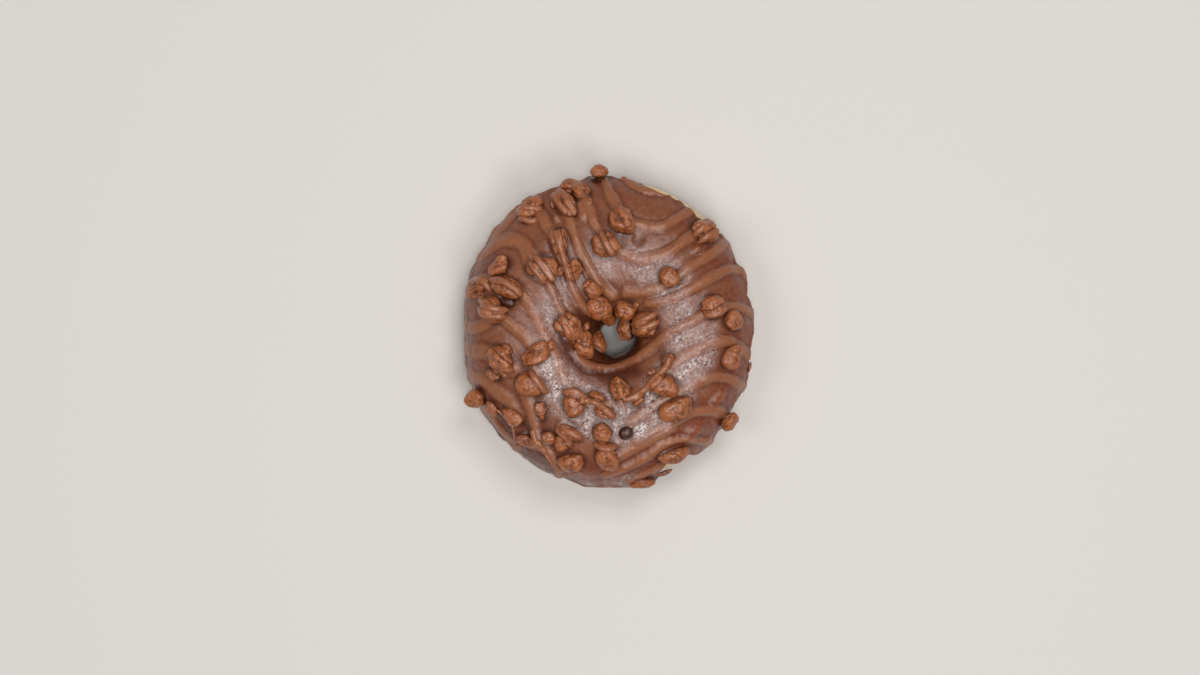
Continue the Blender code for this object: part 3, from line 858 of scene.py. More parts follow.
@dataclass
class Dough:
    """The fried ring."""

    ring: RingForm
    offset: Array
    columns: int = 480
    rows: int = 150
    lumps: float = 0.35
    wrinkles: float = 0.12
    base_dimples: float = 0.12

    def build(self) -> Piece:
        """The ring with its soft lumps and fine wrinkles.

        Returns:
            The object.
        """
        bearing, turn = ring_grid(self.columns, np.arange(self.rows) / self.rows * TAU)
        base, normal = self.ring.points(bearing, turn), self.ring.normals(bearing, turn)
        uneven = self.lumps * grain(base, 9.0, 11) + self.wrinkles * grain(base * (1, 1, 2.2), 2.4, 12)
        uneven += self.wrinkles * 0.6 * grain(base, 1.3, 13)
        corners = base + normal * (uneven - self.lumps)[:, None]
        dimples = self.base_dimples * np.abs(grain(base, 3.0, 14))
        corners[:, 2] = np.where(base[:, 2] <= 0.0, dimples, np.maximum(corners[:, 2], 0.0))
        piece = mesh_object("dough_ring", corners, ring_faces(self.columns, self.rows), self.offset)
        piece.data.materials.append(DoughFinish().material())
        return piece


@dataclass
class Nuggets:
    """The crisp nuggets, each a cluster of rounded grains under chocolate."""

    ring: RingForm
    skin: float
    offset: Array
    flatness: float = 0.82
    swell: float = 1.07
    large_from: float = 8.0
    crumb_below: float = 5.5
    fine: int = 5
    coarse: int = 4
    shape_seed: int = 200
    grain_seed: int = 40
    core: float = 0.72
    knobs: tuple[int, int] = (3, 6)
    knob_place: tuple[float, float] = (0.34, 0.56)
    knob_size: tuple[float, float] = (0.36, 0.58)
    knob_blend: float = 11.0
    flats: int = 9
    flat_place: tuple[float, float] = (0.64, 0.88)
    flat_edge: float = 20.0
    grain_relief: float = 0.22
    ridge_height: float = 0.6
    ridge_half_width: float = 1.15
    groove_depth: float = 0.3
    groove_width: float = 0.32
    groove_gap: float = 0.12
    groove_shade_share: float = 0.85
    route_step: float = 1.0
    route_margin: float = 1.5
    fold_depth: float = 1.2
    foot_fade: float = 0.8
    full_foot: float = 1.6
    foot_reach: float = 2.5
    # Painted shade round the foot and in creases, grooves and folds
    foot_shade: float = 0.85
    foot_shade_haze: float = 0.4
    crease_shade_share: float = 0.65
    fold_shade_share: float = 0.5
    corners: list[Array] = field(default_factory=list)
    faces: list[Array] = field(default_factory=list)

    def frame_of(self, nugget: Nugget) -> tuple[Array, Array, Array]:
        """Where a nugget lies on its seat.

        Args:
            nugget: The nugget.

        Returns:
            Its centre, its axes and its half sizes.
        """
        bearing, turn = self.ring.seat(np.array(nugget.x), np.array(nugget.y), self.skin)
        upward = self.ring.normals(bearing, turn)
        height = self.flatness * nugget.width
        centre = self.ring.points(bearing, turn) + upward * (self.skin + (nugget.proud - 0.5) * height)
        centre[:2] = nugget.x, nugget.y
        aim = math.radians(nugget.turn)
        along = np.array([math.cos(aim), math.sin(aim), 0.0])
        along -= upward * (along @ upward)
        along /= np.linalg.norm(along)
        axes = np.stack((along, np.cross(upward, along), upward))
        return centre, axes, np.array([nugget.length, nugget.width, height]) / 2

    @staticmethod
    def ball(fineness: int) -> tuple[Array, Array]:
        """An even ball.

        Args:
            fineness: How often its faces are divided.

        Returns:
            Its corners and faces.
        """
        ball = bmesh.new()
        bmesh.ops.create_icosphere(ball, subdivisions=fineness, radius=1.0)
        corners = np.array([vertex.co for vertex in ball.verts])
        faces = np.array([[vertex.index for vertex in face.verts] for face in ball.faces])
        ball.free()
        return corners, faces

    def clustered(self, directions: Array, random: np.random.Generator) -> Array:
        """Reach of a lumpy grain in each direction, with a few knobs and broken flats.

        Args:
            directions: Unit directions, one row each.
            random: The nugget's own stream of random numbers.

        Returns:
            The distance from the middle to the surface.
        """
        reaches = [np.full(len(directions), self.core)]
        for _ in range(int(random.integers(*self.knobs))):
            centre = random.normal(size=3) * (1.0, 1.0, 0.6)
            centre *= random.uniform(*self.knob_place) / np.linalg.norm(centre)
            radius = random.uniform(*self.knob_size)
            along = directions @ centre
            inside = along * along - centre @ centre + radius * radius
            reaches.append(np.where(inside > 0, along + np.sqrt(np.maximum(inside, 0.0)), 0.05))
        reach = np.sum(np.maximum(reaches, 0.05) ** self.knob_blend, axis=0) ** (1 / self.knob_blend)
        for flat in random.normal(size=(self.flats, 3)):
            facing = directions @ (flat / np.linalg.norm(flat))
            limit = random.uniform(*self.flat_place) * reach.max() / np.maximum(facing, 0.08)
            reach = (reach ** -self.flat_edge + limit ** -self.flat_edge) ** (-1 / self.flat_edge)
        return reach

    def ridges(self, places: Array, facing_up: Array) -> tuple[Array, Array]:
        """Drizzle that fell on a nugget: how far it lifts the surface, and the grooves beside it.

        Args:
            places: Corners in millimetres from the ring's centre.
            facing_up: How far each corner's surface faces up, from -1 to 1.

        Returns:
            The lift of each corner, and nought to one where a groove is.
        """
        lift, groove = np.zeros(len(places)), np.zeros(len(places))
        for route in OVERLAYS:
            seen = smooth_route(route, self.route_step)
            if not np.any(boxed(seen, places[:, :2], self.route_margin)):
                continue
            gap = distance_to_path(places[:, :2], seen)
            lift = np.maximum(lift, np.clip(1 - (gap / self.ridge_half_width) ** 2, 0.0, 1.0) ** 0.6)
            beside = gap - self.ridge_half_width - self.groove_gap
            groove = np.maximum(groove, hump(beside, self.groove_width))
        groove *= 1 - np.minimum(lift * 4, 1.0)
        open_side = ease(facing_up, -0.25, 0.3)
        return (self.ridge_height * lift - self.groove_depth * groove) * open_side, groove * open_side

    def lump(self, index: int, nugget: Nugget) -> tuple[Array, Array, Array]:
        """One nugget.

        Args:
            index: Its number, which picks its random shape.
            nugget: The nugget.

        Returns:
            Its corners, its faces and the painted shade of each corner.
        """
        is_fine = nugget.length >= self.crumb_below or index < len(NUGGETS)
        directions, faces = self.ball(self.fine if is_fine else self.coarse)
        random = np.random.default_rng(self.shape_seed + index)
        corners = directions * self.clustered(directions, random)[:, None]
        low, high = corners.min(axis=0), corners.max(axis=0)
        corners = (corners - (low + high) / 2) / ((high - low) / 2)
        centre, axes, half = self.frame_of(nugget)
        corners = corners * half * self.swell
        outward = corners / np.linalg.norm(corners, axis=1, keepdims=True)
        seed = self.grain_seed + index
        relief = layered(corners, (1.0, 1.7, seed), (0.7, 0.8, seed + 1), (0.45, 0.5, seed + 2))
        fold = (1 - np.abs(grain(corners, 2.3, seed + 3))) ** 7
        fold = fold * ease(grain(corners, 3.3, seed + 4), -0.15, 0.3)
        corners = corners + outward * (self.grain_relief * (relief - self.fold_depth * fold))[:, None]
        crease_shade = self.creases(corners, faces)
        lift, groove = self.ridges(centre + corners @ axes, (outward @ axes)[:, 2])
        # Painted contact shade, darkest where the nugget meets the icing
        over_icing = np.maximum(corners[:, 2] + (nugget.proud - 0.5) * 2 * half[2], 0.0)
        over_icing = over_icing / min(1.0, half[2] / self.full_foot)
        foot = self.foot_shade * hump(over_icing, self.foot_fade)
        foot = foot + self.foot_shade_haze * hump(over_icing, self.foot_reach)
        corners = corners + outward * lift[:, None]
        # Painted shade in creases, in grooves beside the drizzle and in folds
        grooved, folded = self.groove_shade_share * groove, self.fold_shade_share * fold * (1 - groove)
        painted_shade = np.max((self.crease_shade_share * crease_shade, grooved, folded, foot), axis=0)
        return centre + corners @ axes, faces, np.minimum(painted_shade, 1.0)

    def blister(self, nugget: Nugget) -> tuple[Array, Array, Array]:
        """One smooth blister, dark all over with painted shade.

        Args:
            nugget: Its place and size.

        Returns:
            Its corners, its faces and how dark each corner is.
        """
        corners, faces = self.ball(self.coarse)
        centre, axes, half = self.frame_of(nugget)
        # Painted shade over the whole blister
        return centre + (corners * half) @ axes, faces, np.ones(len(corners))

    @staticmethod
    def creases(corners: Array, faces: Array) -> Array:
        """How far each corner lies below the average of the surface round it.

        Args:
            corners: Corners from the nugget's middle.
            faces: Its faces.

        Returns:
            Nought to one for each corner.
        """
        edges = np.vstack((faces[:, :2], faces[:, 1:], faces[:, ::2]))
        reach = np.linalg.norm(corners, axis=1)
        smooth = reach.copy()
        count = np.bincount(edges.ravel(), minlength=len(corners))
        for _ in range(10):
            total = np.bincount(edges[:, 0], smooth[edges[:, 1]], len(corners))
            total += np.bincount(edges[:, 1], smooth[edges[:, 0]], len(corners))
            smooth = total / count
        return ease(smooth - reach, 0.015, 0.16)

    def build(self, name: str, lowest: float, highest: float) -> Piece:
        """The nuggets within a range of lengths as one mesh.

        Args:
            name: Name of the piece.
            lowest: Least length taken.
            highest: Length from which they are left to another piece.

        Returns:
            The object.
        """
        corners, faces, creases, start = [], [], [], 0
        for index, nugget in enumerate(NUGGETS + CRUMBS + BLISTERS):
            if nugget.proud == SUNKEN or not lowest <= nugget.length < highest:
                continue
            lump, around, crease_shade = self.blister(nugget) if nugget in BLISTERS else self.lump(index, nugget)
            corners.append(lump)
            faces.append(around + start)
            creases.append(crease_shade)
            start += len(lump)
        self.corners.extend(corners)
        self.faces.extend(around - around.min() for around in faces)
        piece = mesh_object(name, np.vstack(corners), np.vstack(faces), self.offset)
        store(piece, "crease_shade", np.concatenate(creases))
        return piece

    def tree(self) -> BVHTree:
        """The nuggets' surface, for finding where drizzle lies on them.

        Returns:
            The tree of its faces.
        """
        starts = np.cumsum([0, *(len(lump) for lump in self.corners[:-1])])
        faces = np.vstack([around + start for around, start in zip(self.faces, starts)])
        return BVHTree.FromPolygons(np.vstack(self.corners).tolist(), faces.tolist())


@dataclass(frozen=True)
class Covering:
    """What lies on each corner of the icing, and the painted shade there, from nought to one."""

    strand: Array
    border: Array
    ledge_shade: Array
    foot: Array
    dome: Array
    valley_shade: Array
    hollow_shade: Array


@dataclass
class Icing:
    """The icing as a closed shell, with the drizzle that has melted into it."""

    ring: RingForm
    form: IcingForm
    nuggets: Nuggets
    offset: Array
    columns: int = 800
    rows: int = 112
    under_rows: int = 6
    route_step: float = 1.0
    rim_steps: int = 11
    over_rim_below: float = 30.0
    near: float = 4.0
    end_bunching: float = 0.55
    section_radius: float = 17.5
    under_depth: float = 0.3
    bead_place: float = 1.4
    bead_width: float = 1.2
    border_depth: float = 0.18
    side_melt: float = 0.55
    collar_start: float = 0.92
    collar_height: float = 0.18
    collar_reach: float = 1.0
    shade_reach: float = 1.5
    ledge_drop: float = 1.4
    ledge_fade: float = 5.0
    ledge_shade_fade: float = 10.0
    ledge_lip: float = 0.35
    ledge_step: float = 0.6
    ledge_end_steps: int = 6
    lowest_ledge: float = 5.0
    valley_reach: float = 2.6
    lowest_valley: float = 15.0
    lowest_mark: float = 18.0
    dome_height: float = 1.2
    dome_foot: float = 1.02
    dome_top: float = 0.35
    dome_waver: float = 0.14
    rim_thinning: float = 0.45
    rim_waves: float = 0.3
    thin_side: float = -40.0
    hole_shade_from: float = 112.0
    hole_shade_swing: float = 22.0
    hole_shade_side: float = -20.0
    crest_from: float = 73.0
    crest_swing: float = 13.0
    frosted_side: float = -75.0
    low_rim_side: float = -97.0
    corners: Array = field(init=False)

    def faces(self) -> Array:
        """Faces of the shell's grid."""
        return ring_faces(self.columns, self.rows + self.under_rows)

    def tree(self) -> BVHTree:
        """The icing's surface, for finding where drizzle lies on it."""
        return BVHTree.FromPolygons(self.corners.tolist(), self.faces().tolist())

    def path(self, strand: Strand) -> Array:
        """The strand's middle on the dough, carried down the side where it runs over the rim.

        Args:
            strand: The strand.

        Returns:
            Its points in millimetres from the ring's centre.
        """
        seen = smooth_route(strand.route, self.route_step)
        bearing, turn = self.ring.seat(seen[:, 0], seen[:, 1], self.form.skin)
        steps = np.linspace(0.0, 1.0, self.rim_steps + 1)[1:]
        for end in (0, -1):
            if turn[end] > math.radians(self.over_rim_below):
                continue
            edge = self.form.edges(self.ring, bearing[end:][:1])[0][0]
            down = turn[end] + (edge - turn[end]) * steps
            level = np.full(len(steps), bearing[end])
            if end == 0:
                turn, bearing = np.concatenate((down[::-1], turn)), np.concatenate((level, bearing))
            else:
                turn, bearing = np.concatenate((turn, down)), np.concatenate((bearing, level))
        return self.ring.points(bearing, turn)

    def strands(self, base: Array) -> tuple[Array, Array, Array]:
        """Drizzle in the icing.

        Args:
            base: Corners on the dough below the icing.

        Returns:
            The drizzle's height, how much of each corner it covers, and its borders.
        """
        power, cover, border = np.zeros(len(base)), np.zeros(len(base)), np.zeros(len(base))
        for index, strand in enumerate(STRANDS):
            height, half_width, softness = strand.melt.value
            path = self.path(strand)
            near = boxed(base, path, self.near)
            spot = base[near]
            waver = layered(spot, (0.2, 5.0, 60 + index), (0.16, 1.9, 130 + index))
            girth = half_width * (1 + waver)
            gap = distance_to_path(spot, path)
            share = np.clip(1 - (gap / girth) ** 2, 0.0, 1.0)
            uneven = 0.95 + 0.4 * grain(spot, 6.0, 90 + index) + 0.2 * grain(spot, 2.2, 170 + index)
            swell = height * share ** softness * np.maximum(uneven, 0.2)
            power[near] += swell ** 5
            cover[near] = np.maximum(cover[near], share)
            border[near] = np.maximum(border[near], hump(gap - girth - 0.3, 0.6))
        return power ** 0.2, cover, border * (1 - ease(cover, 0.0, 0.3))

    def around(self, surface: Array, nugget: Nugget) -> tuple[Array, Array, Array]:
        """The surface near a nugget.

        Args:
            surface: The icing's corners.
            nugget: The nugget.

        Returns:
            Which corners are near, how far out each lies in the nugget's half sizes, and those.
        """
        centre, axes, half = self.nuggets.frame_of(nugget)
        near = np.linalg.norm(surface - centre, axis=1) < half[0] + self.near
        local = (surface[near] - centre) @ axes.T
        return near, np.hypot(local[:, 0] / half[0], local[:, 1] / half[1]), half

    def collars(self, surface: Array) -> tuple[Array, Array]:
        """Icing drawn up round the foot of each nugget.

        Args:
            surface: The icing's corners.

        Returns:
            Its height and its shade at each.
        """
        raised, shade = np.zeros(len(surface)), np.zeros(len(surface))
        for nugget in (some for some in NUGGETS if some.proud != SUNKEN):
            near, outline, half = self.around(surface, nugget)
            gap = np.maximum(outline - self.collar_start, 0.0) * half[:2].mean()
            raised[near] = np.maximum(raised[near], self.collar_height * hump(gap, self.collar_reach))
            shade[near] = np.maximum(shade[near], hump(gap, self.shade_reach, 3))
        return raised, shade

    def domes(self, surface: Array) -> Array:
        """Nuggets that the icing has covered.

        Args:
            surface: The icing's corners.

        Returns:
            How far each corner lies on one, from nought to one.
        """
        domes = np.zeros(len(surface))
        for nugget in (some for some in NUGGETS + CRUMBS if some.proud == SUNKEN):
            near, outline, _ = self.around(surface, nugget)
            outline = outline * (1 + self.dome_waver * grain(surface[near], 2.4, 33))
            domes[near] = np.maximum(domes[near], ease(outline, self.dome_foot, self.dome_top))
        return domes

    def marks(self, surface: Array) -> tuple[Array, Array]:
        """Craters and the dents round blisters.

        Args:
            surface: The icing's corners.

        Returns:
            Their depth and their painted shade, which is also glossy, at each.
        """
        depth, hollow_shade = np.zeros(len(surface)), np.zeros(len(surface))
        for x, y, radius, deep, shade in MARKS:
            away = np.hypot(surface[:, 0] - x, surface[:, 1] - y) / radius
            away = np.where(surface[:, 2] > self.lowest_mark, away, np.inf)
            depth -= deep * hump(away, 0.85, 4)
            hollow_shade = np.maximum(hollow_shade, shade * hump(away, 0.95, 6))
        return depth, hollow_shade

    def step_down(self, surface: Array) -> tuple[Array, Array]:
        """The thin film that ends in a ledge at the lower left.

        Args:
            surface: The icing's corners.

        Returns:
            Its drop and its painted shade outside the ledge at each.
        """
        drop, shade = np.zeros(len(surface)), np.zeros(len(surface))
        path = smooth_route(LEDGE, self.ledge_step)
        near = boxed(surface[:, :2], path, self.near + 1) & (surface[:, 2] > self.lowest_ledge)
        spot = surface[near, :2]
        gaps = np.linalg.norm(spot[:, None] - path[None], axis=2)
        nearest = gaps.argmin(axis=1)
        gap = gaps.min(axis=1)
        along = np.clip(np.minimum(nearest, len(path) - 1 - nearest) / self.ledge_end_steps, 0.0, 1.0)
        side = np.where(np.hypot(*spot.T) > np.hypot(*path[nearest].T), gap, -gap)
        beyond = np.maximum(side, 0.0)
        drop[near] = -self.ledge_drop * ease(side, -0.25, 0.45) * np.exp(-beyond / self.ledge_fade) * along
        drop[near] += self.ledge_lip * hump(gap, 0.7) * along
        # Painted shade on the icing outside and below the ledge
        shade[near] = ease(side, 0.0, 0.6) * np.exp(-beyond / self.ledge_shade_fade) * along
        return drop, shade

    def valley_shade(self, surface: Array) -> Array:
        """How far each corner lies in the painted shade of the valley, from nought to one."""
        gap = distance_to_path(surface[:, :2], smooth_route(VALLEY, 1.0))
        return hump(gap, self.valley_reach) * (surface[:, 2] > self.lowest_valley)

    def sheet(self, bearing: Array, share: Array) -> tuple[Array, Array, Array]:
        """The plain sheet, with its rounded lips and the bead along them.

        Args:
            bearing: Bearings round the hole.
            share: Places between the outer and the inner edge, from nought to one.

        Returns:
            The turn, how full the sheet is and its thickness at each.
        """
        outside, inside = self.form.edges(self.ring, bearing)
        from_edge = np.minimum(share, 1 - share) * (inside - outside) * self.section_radius
        from_lip = 1 - np.clip(from_edge / self.form.lip, 0.0, 1.0)
        fill = np.sqrt(np.maximum(1 - from_lip ** 2, 0.0))
        bead = self.form.bead * hump(from_edge - self.bead_place, self.bead_width)
        return outside + (inside - outside) * share, fill, fill * (self.form.skin + bead)

    def masks(self, base: Array, bearing: Array, level: Array, on: Covering) -> dict[str, Array]:
        """Where the icing is drizzled, thin, under painted shade, frosted and under a painted sheen, for its
        material.

        Args:
            base: Corners on the dough below the icing.
            bearing: Their bearings round the hole.
            level: Their turns in degrees.
            on: What lies on them.

        Returns:
            Nought to one for each corner, by the mask's name.
        """
        patches = ease(layered(base, (1.0, 8.0, 31), (0.4, 3.0, 32)), -0.7, 0.15)
        thin_and_shade = band(level, -5, 14, 42, 66) * (0.65 + 0.45 * toward(bearing, self.thin_side)) * patches
        # Painted shade along strand borders, below the ledge and in the valley is added to the red of thin
        # icing at the rim
        thin_and_shade = thin_and_shade * (1 - 0.9 * ease(on.strand, 0.0, 0.5)) + 0.4 * on.border
        thin_and_shade = thin_and_shade + 0.8 * on.ledge_shade + 0.8 * on.valley_shade
        # Painted shade in the hole, reaching higher up the wall on one side
        facing_hole = 0.5 + 0.5 * toward(bearing, self.hole_shade_side)
        wall = self.hole_shade_from + self.hole_shade_swing * facing_hole
        in_hole = 0.95 * ease(level - wall, 0, 14)
        # Painted shade round nugget feet, in the hole, along strand borders, below the ledge and in the
        # valley, stored as the foot mask
        shade = np.max([on.foot, in_hole, 0.3 * on.border, 0.85 * on.ledge_shade, 0.95 * on.valley_shade], axis=0)
        # Painted sheen over real sugar frosting: the crest band where the lights reflect, stronger towards
        # the lower side and along the low rim
        crest = self.crest_from - self.crest_swing * toward(bearing, self.thin_side)
        patchy = ease(layered(base, (1.0, 7.0, 41), (0.5, 3.2, 42)), -0.95, 0.1)
        frosted = 0.78 + 0.4 * toward(bearing, self.frosted_side)
        low_rim = np.maximum(toward(bearing, self.low_rim_side), 0.0) ** 8 * (1 - on.ledge_shade)
        low_rim = 0.75 * band(level, 2, 12, 24, 36) * low_rim
        bloom_and_sheen = patchy * np.maximum(band(level, crest - 4, crest + 8, 104, 120) * frosted, low_rim)
        return {
            "strand": np.maximum(on.strand, 0.42 * on.dome),
            "thin_and_shade": np.clip(np.maximum(thin_and_shade, 0.4 * on.dome), 0.0, 1.0),
            "foot": shade * (1 - 0.82 * on.strand),
            # Painted shade in the marks' hollows and deep down the hole wall
            "pit_shade": np.maximum(on.hollow_shade, 0.6 * ease(level - wall, 10, 28)),
            "bloom_and_sheen": bloom_and_sheen * (1 - 0.4 * ease(on.strand, 0.2, 0.8)) * (1 - on.foot) * (1 - on.valley_shade),
        }

    def build(self) -> Piece:
        """The shell with its strands, collars, waves and marks.

        Returns:
            The object.
        """
        even = np.linspace(0.0, 1.0, self.rows)
        over = even - self.end_bunching * np.sin(TAU * even) / TAU
        under = np.linspace(1.0, 0.0, self.under_rows + 2)[1:-1]
        bearing, share = ring_grid(self.columns, np.concatenate((over, under)))
        is_over = np.tile(np.arange(self.rows + self.under_rows) < self.rows, self.columns)
        turn, fill, thick = self.sheet(bearing, share)
        level = np.degrees(turn)
        base, normal = self.ring.points(bearing, turn), self.ring.normals(bearing, turn)
        surface = base + normal * self.form.skin
        drizzle, cover, border = self.strands(base)
        drizzle = drizzle * (1 - self.side_melt * (1 - ease(level, 5, 45))) - self.border_depth * border
        dents, hollow_shade = self.marks(surface)
        drop, ledge_shade = self.step_down(surface)
        collar, foot = self.collars(surface)
        dome = self.domes(surface)
        waves = layered(base, (0.3, 8.0, 21), (0.16, 3.6, 22), (0.08, 1.7, 23))
        waves = waves + self.rim_waves * ease(level, 40, 10) * grain(base, 2.6, 24)
        thinned = self.rim_thinning * ease(level, 38, 5) * np.cos(bearing) ** 2
        shaped = drizzle + collar + dents + drop + waves - thinned + self.dome_height * dome
        height = np.where(is_over, thick + fill * shaped, -self.under_depth)
        self.corners = base + normal * height[:, None]
        piece = mesh_object("icing_shell", self.corners, self.faces(), self.offset)
        covering = Covering(cover, border, ledge_shade, foot, dome, self.valley_shade(surface), hollow_shade)
        for name, values in self.masks(base, bearing, level, covering).items():
            store(piece, name, values)
        piece.data.materials.append(ChocolateFinish().material())
        return piece


@dataclass
class Drizzle:
    """The strands of drizzle that lie over nuggets, as tubes that hang from one to the next."""

    ring: RingForm
    skin: float
    icing: BVHTree
    nuggets: BVHTree
    offset: Array
    step: float = 0.45
    radius: float = 1.05
    sides: int = 14
    drop_height: float = 14.0
    sink_on_icing: float = 0.35
    sink_on_nugget: float = 0.8
    ledge_girth: float = 0.4
    slack: float = 0.02
    pulls: int = 60
    end_taper: int = 3
    weld: float = 0.004

    def draped(self, route: Route, girth: float) -> Array:
        """A strand laid along a route, over whatever lies below it.

        Args:
            route: Points seen from above.
            girth: Its girth as a share of the full one.

        Returns:
            The points of its middle.
        """
        seen = smooth_route(route, self.step)
        bearing, turn = self.ring.seat(seen[:, 0], seen[:, 1], self.skin)
        foot, upward = self.ring.points(bearing, turn), self.ring.normals(bearing, turn)
        lie = np.full(len(foot), self.skin - self.sink_on_icing)
        for bed, sink in ((self.icing, self.sink_on_icing), (self.nuggets, self.sink_on_nugget)):
            for number, (start, way) in enumerate(zip(foot, upward)):
                above = Vector(start + way * self.drop_height)
                place, *_, gone = bed.ray_cast(above, Vector(-way), self.drop_height)
                if place is not None:
                    lie[number] = max(lie[number], self.drop_height - gone - sink * girth)
        rope = lie.copy()
        for _ in range(self.pulls):
            rope[1:-1] = np.maximum(lie[1:-1], (rope[:-2] + rope[2:]) / 2 - self.slack)
        return foot + upward * rope[:, None]

    def guide(self) -> Piece:
        """Every route as a line of corners joined by edges, with the girth stored on it.

        Returns:
            The object with the lines.
        """
        corners, edges, girths, start = [], [], [], 0
        taper = np.sqrt(np.linspace(0.1, 1.0, self.end_taper))
        for route, size in (*((route, 1.0) for route in OVERLAYS), (LEDGE, self.ledge_girth)):
            line = self.draped(route, size)
            girth = np.full(len(line), size)
            girth[:self.end_taper] *= taper
            girth[-self.end_taper:] *= taper[::-1]
            corners.append(line)
            edges.extend((number, number + 1) for number in range(start, start + len(line) - 1))
            girths.append(girth * (1 + 0.12 * grain(line, 2.5, 70)))
            start += len(line)
        mesh = bpy.data.meshes.new("drizzle guide")
        mesh.from_pydata((np.vstack(corners) * MM + self.offset).tolist(), edges, [])
        guide = linked("drizzle guide", mesh)
        store(guide, "girth", np.concatenate(girths))
        return guide

    @staticmethod
    def tube_tree(finish: bpy.types.Material) -> bpy.types.NodeTree:
        """Geometry nodes that turn lines into closed tubes.

        Args:
            finish: The tubes' material.

        Returns:
            The tree, with the inputs Radius and Sides.
        """
        tree = bpy.data.node_groups.new("drizzle tubes", "GeometryNodeTree")
        for name, kind in (("Geometry", "Geometry"), ("Radius", "Float"), ("Sides", "Int")):
            tree.interface.new_socket(name, in_out="INPUT", socket_type=f"NodeSocket{kind}")
        tree.interface.new_socket("Geometry", in_out="OUTPUT", socket_type="NodeSocketGeometry")
        kinds = {
            "entry": "NodeGroupInput",
            "lines": "GeometryNodeMeshToCurve",
            "girth": "GeometryNodeInputNamedAttribute",
            "swell": "GeometryNodeSetCurveRadius",
            "profile": "GeometryNodeCurvePrimitiveCircle",
            "skin": "GeometryNodeCurveToMesh",
            "smooth": "GeometryNodeSetShadeSmooth",
            "dress": "GeometryNodeSetMaterial",
            "real": "GeometryNodeRealizeInstances",
            "leave": "NodeGroupOutput",
        }
        nodes = {name: tree.nodes.new(kind) for name, kind in kinds.items()}
        nodes["girth"].data_type = "FLOAT"
        nodes["girth"].inputs["Name"].default_value = "girth"
        nodes["skin"].inputs["Fill Caps"].default_value = True
        nodes["dress"].inputs["Material"].default_value = finish
        chain = ("entry", "lines", "swell", "skin", "smooth", "dress", "real", "leave")
        for source, target in itertools.pairwise(chain):
            tree.links.new(nodes[source].outputs[0], nodes[target].inputs[0])
        for source, output, target, entry in (
            ("girth", "Attribute", "swell", "Radius"),
            ("entry", "Radius", "profile", "Radius"),
            ("entry", "Sides", "profile", "Resolution"),
            ("profile", "Curve", "skin", "Profile Curve"),
            ("girth", "Attribute", "skin", "Scale"),
        ):
            tree.links.new(nodes[source].outputs[output], nodes[target].inputs[entry])
        return tree

    def build(self) -> Piece:
        """The tubes as one plain mesh.

        Returns:
            The object.
        """
        guide = self.guide()
        finish = CoatedFinish("drizzle", srgb(148, 91, 61), srgb(146, 86, 55), relief=0.08).material()
        tree = self.tube_tree(finish)
        tubes = guide.modifiers.new("tubes", "NODES")
        tubes.node_group = tree
        values = {"Radius": self.radius * MM, "Sides": self.sides}
        for socket in tree.interface.items_tree:
            if socket.in_out == "INPUT" and socket.name in values:
                tubes[socket.identifier] = values[socket.name]
        mesh = bpy.data.meshes.new_from_object(guide.evaluated_get(bpy.context.evaluated_depsgraph_get()))
        bpy.data.objects.remove(guide)
        welded = bmesh.new()
        welded.from_mesh(mesh)
        bmesh.ops.remove_doubles(welded, verts=welded.verts, dist=self.weld * MM)
        bmesh.ops.recalc_face_normals(welded, faces=welded.faces)
        welded.to_mesh(mesh)
        welded.free()
        return linked("drizzle_strands", mesh)


@dataclass
class Studio:
    """Pale floor, soft light and the camera that looks straight down."""

    offset: Array
    stands_at: tuple[float, float] = (-2.66, -2.24)
    distance: float = 900.0
    in_focus: float = 16.0
    seen_width: float = 384.0
    sensor: float = 36.0
    floor_size: float = 4.0
    floor_colour: Colour = srgb(208, 204, 200)
    sky_colour: Colour = srgb(250, 248, 246)
    sky_strength: float = 0.22
    softboxes: tuple[tuple[str, tuple[float, float, float], float, float], ...] = (
        ("overhead softbox", (0.04, -0.08, 1.3), 0.24, 3.6),
        ("lower right softbox", (0.295, -0.511, 1.158), 0.5, 5.4),
        ("upper right softbox", (0.295, 0.511, 1.158), 0.5, 5.0),
        ("left softbox", (-0.59, 0.0, 1.158), 0.5, 3.4),
    )

    @staticmethod
    def light(name: str, place: tuple[float, float, float], size: float, power: float) -> None:
        """A square soft light that faces the doughnut.

        Args:
            name: Name of the light.
            place: Where it hangs, in metres.
            size: Length of its side, in metres.
            power: Power in watts.
        """
        lamp = bpy.data.lights.new(name, "AREA")
        lamp.shape = "SQUARE"
        lamp.size = size
        lamp.energy = power
        held = linked(name, lamp)
        held.location = place
        held.rotation_euler = (Vector((0, 0, 0.02)) - Vector(place)).to_track_quat("-Z", "Y").to_euler()
        held.visible_camera = False

    def build(self) -> None:
        """Set the stage."""
        half = self.floor_size / 2
        corners = np.array([(-half, -half, 0), (half, -half, 0), (half, half, 0), (-half, half, 0)]) / MM
        floor = mesh_object("floor", corners, np.array([[0, 1, 2, 3]]), np.zeros(3))
        finish = Graph("pale floor").finish({"Base Color": self.floor_colour, "Roughness": 0.7})
        floor.data.materials.append(finish)
        floor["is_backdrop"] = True
        for softbox in self.softboxes:
            self.light(*softbox)
        world = bpy.data.worlds.new("studio")
        world.use_nodes = True
        sky = world.node_tree.nodes["Background"].inputs
        sky["Color"].default_value = self.sky_colour
        sky["Strength"].default_value = self.sky_strength
        bpy.context.scene.world = world
        bpy.context.scene.view_settings.view_transform = "Standard"
        camera = bpy.data.cameras.new("camera")
        camera.sensor_width = self.sensor
        camera.lens = self.sensor * self.distance / self.seen_width
        held = linked("camera", camera)
        place = Vector((*self.stands_at, self.distance + self.in_focus)) * MM
        held.location = Vector(self.offset) + place
        bpy.context.scene.camera = held


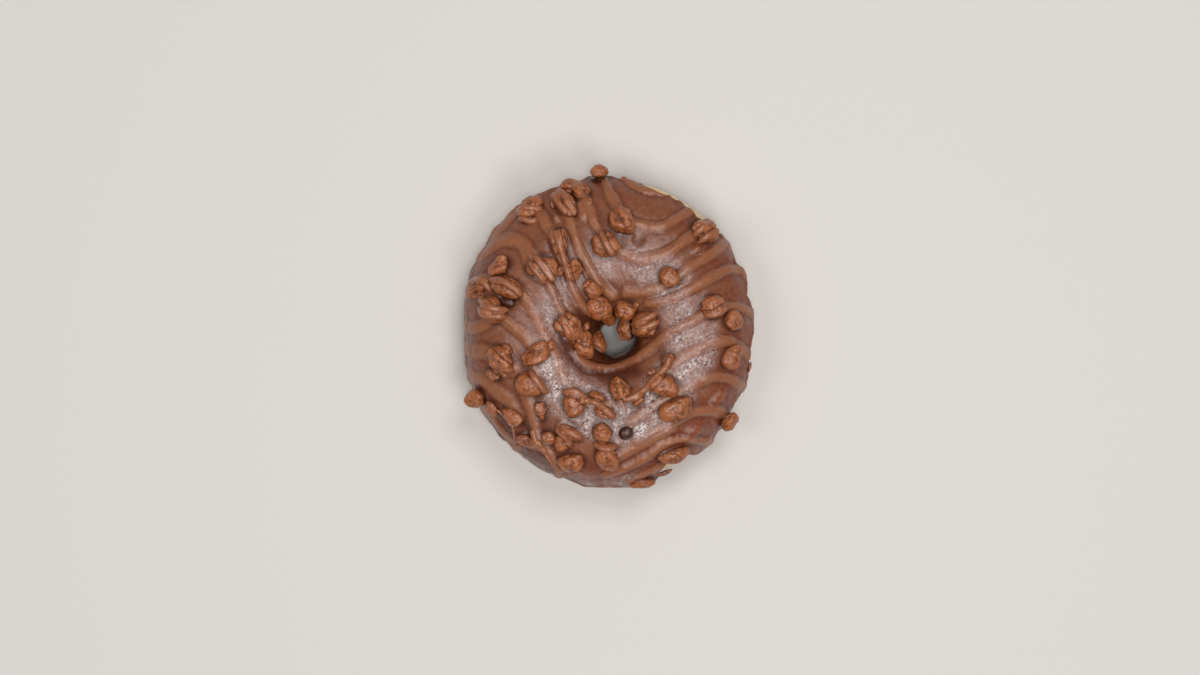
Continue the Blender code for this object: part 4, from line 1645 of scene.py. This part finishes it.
@dataclass(frozen=True)
class Placement:
    """Puts the pieces on the doughnut, inside the box of its solids."""

    low: Vector
    high: Vector
    knee: float = 0.7 * MM

    def eased(self, past: Array) -> Array:
        """How far to draw in the corners that have passed the knee by this much."""
        return past - self.knee * (1 - np.exp(-past / self.knee))

    def ease_in(self, piece: Piece) -> None:
        """Draw in the corners that come near the box's sides or pass them.

        Args:
            piece: The piece, which is changed.
        """
        corners = np.empty(len(piece.data.vertices) * 3)
        piece.data.vertices.foreach_get("co", corners)
        corners = corners.reshape(-1, 3)
        top = np.array(self.high) - self.knee
        base = np.array((self.low[0] + self.knee, self.low[1] + self.knee, -1.0))
        over, under = np.maximum(corners - top, 0.0), np.maximum(base - corners, 0.0)
        corners += self.eased(under) - self.eased(over)
        piece.data.vertices.foreach_set("co", corners.ravel())
        piece.data.update()

    def place(self, piece: Piece, slot: str, node: str) -> None:
        """Let a piece ride on the doughnut.

        Args:
            piece: The piece.
            slot: Its material slot; not used.
            node: The solid that it stands for.
        """
        self.ease_in(piece)
        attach(piece, "root")
        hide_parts(node)
        log.info("%s: %d faces", piece.name, len(piece.data.polygons))


def main() -> None:
    """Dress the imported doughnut."""
    logging.basicConfig(level=logging.INFO, format="%(name)s: %(message)s")
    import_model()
    solid_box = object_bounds()
    placement = Placement(*(Vector(corner) for corner in solid_box))
    ring, form = RingForm(), IcingForm()
    offset = ring.offset(*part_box("dough"))
    nuggets = Nuggets(ring, form.skin, offset)
    placement.place(Dough(ring, offset).build(), "dough", "dough")
    finish = CoatedFinish("coated nuggets").material()
    large = nuggets.build("large_nuggets", nuggets.large_from, math.inf)
    small = nuggets.build("small_nuggets", 0.0, nuggets.large_from)
    for piece in (large, small):
        piece.data.materials.append(finish)
        placement.place(piece, "nuggets", "icing")
    icing = Icing(ring, form, nuggets, offset)
    placement.place(icing.build(), "chocolate", "icing")
    drizzle = Drizzle(ring, form.skin, icing.tree(), nuggets.tree(), offset)
    placement.place(drizzle.build(), "drizzle", "icing")
    Studio(offset).build()


if __name__ == "__main__":
    main()
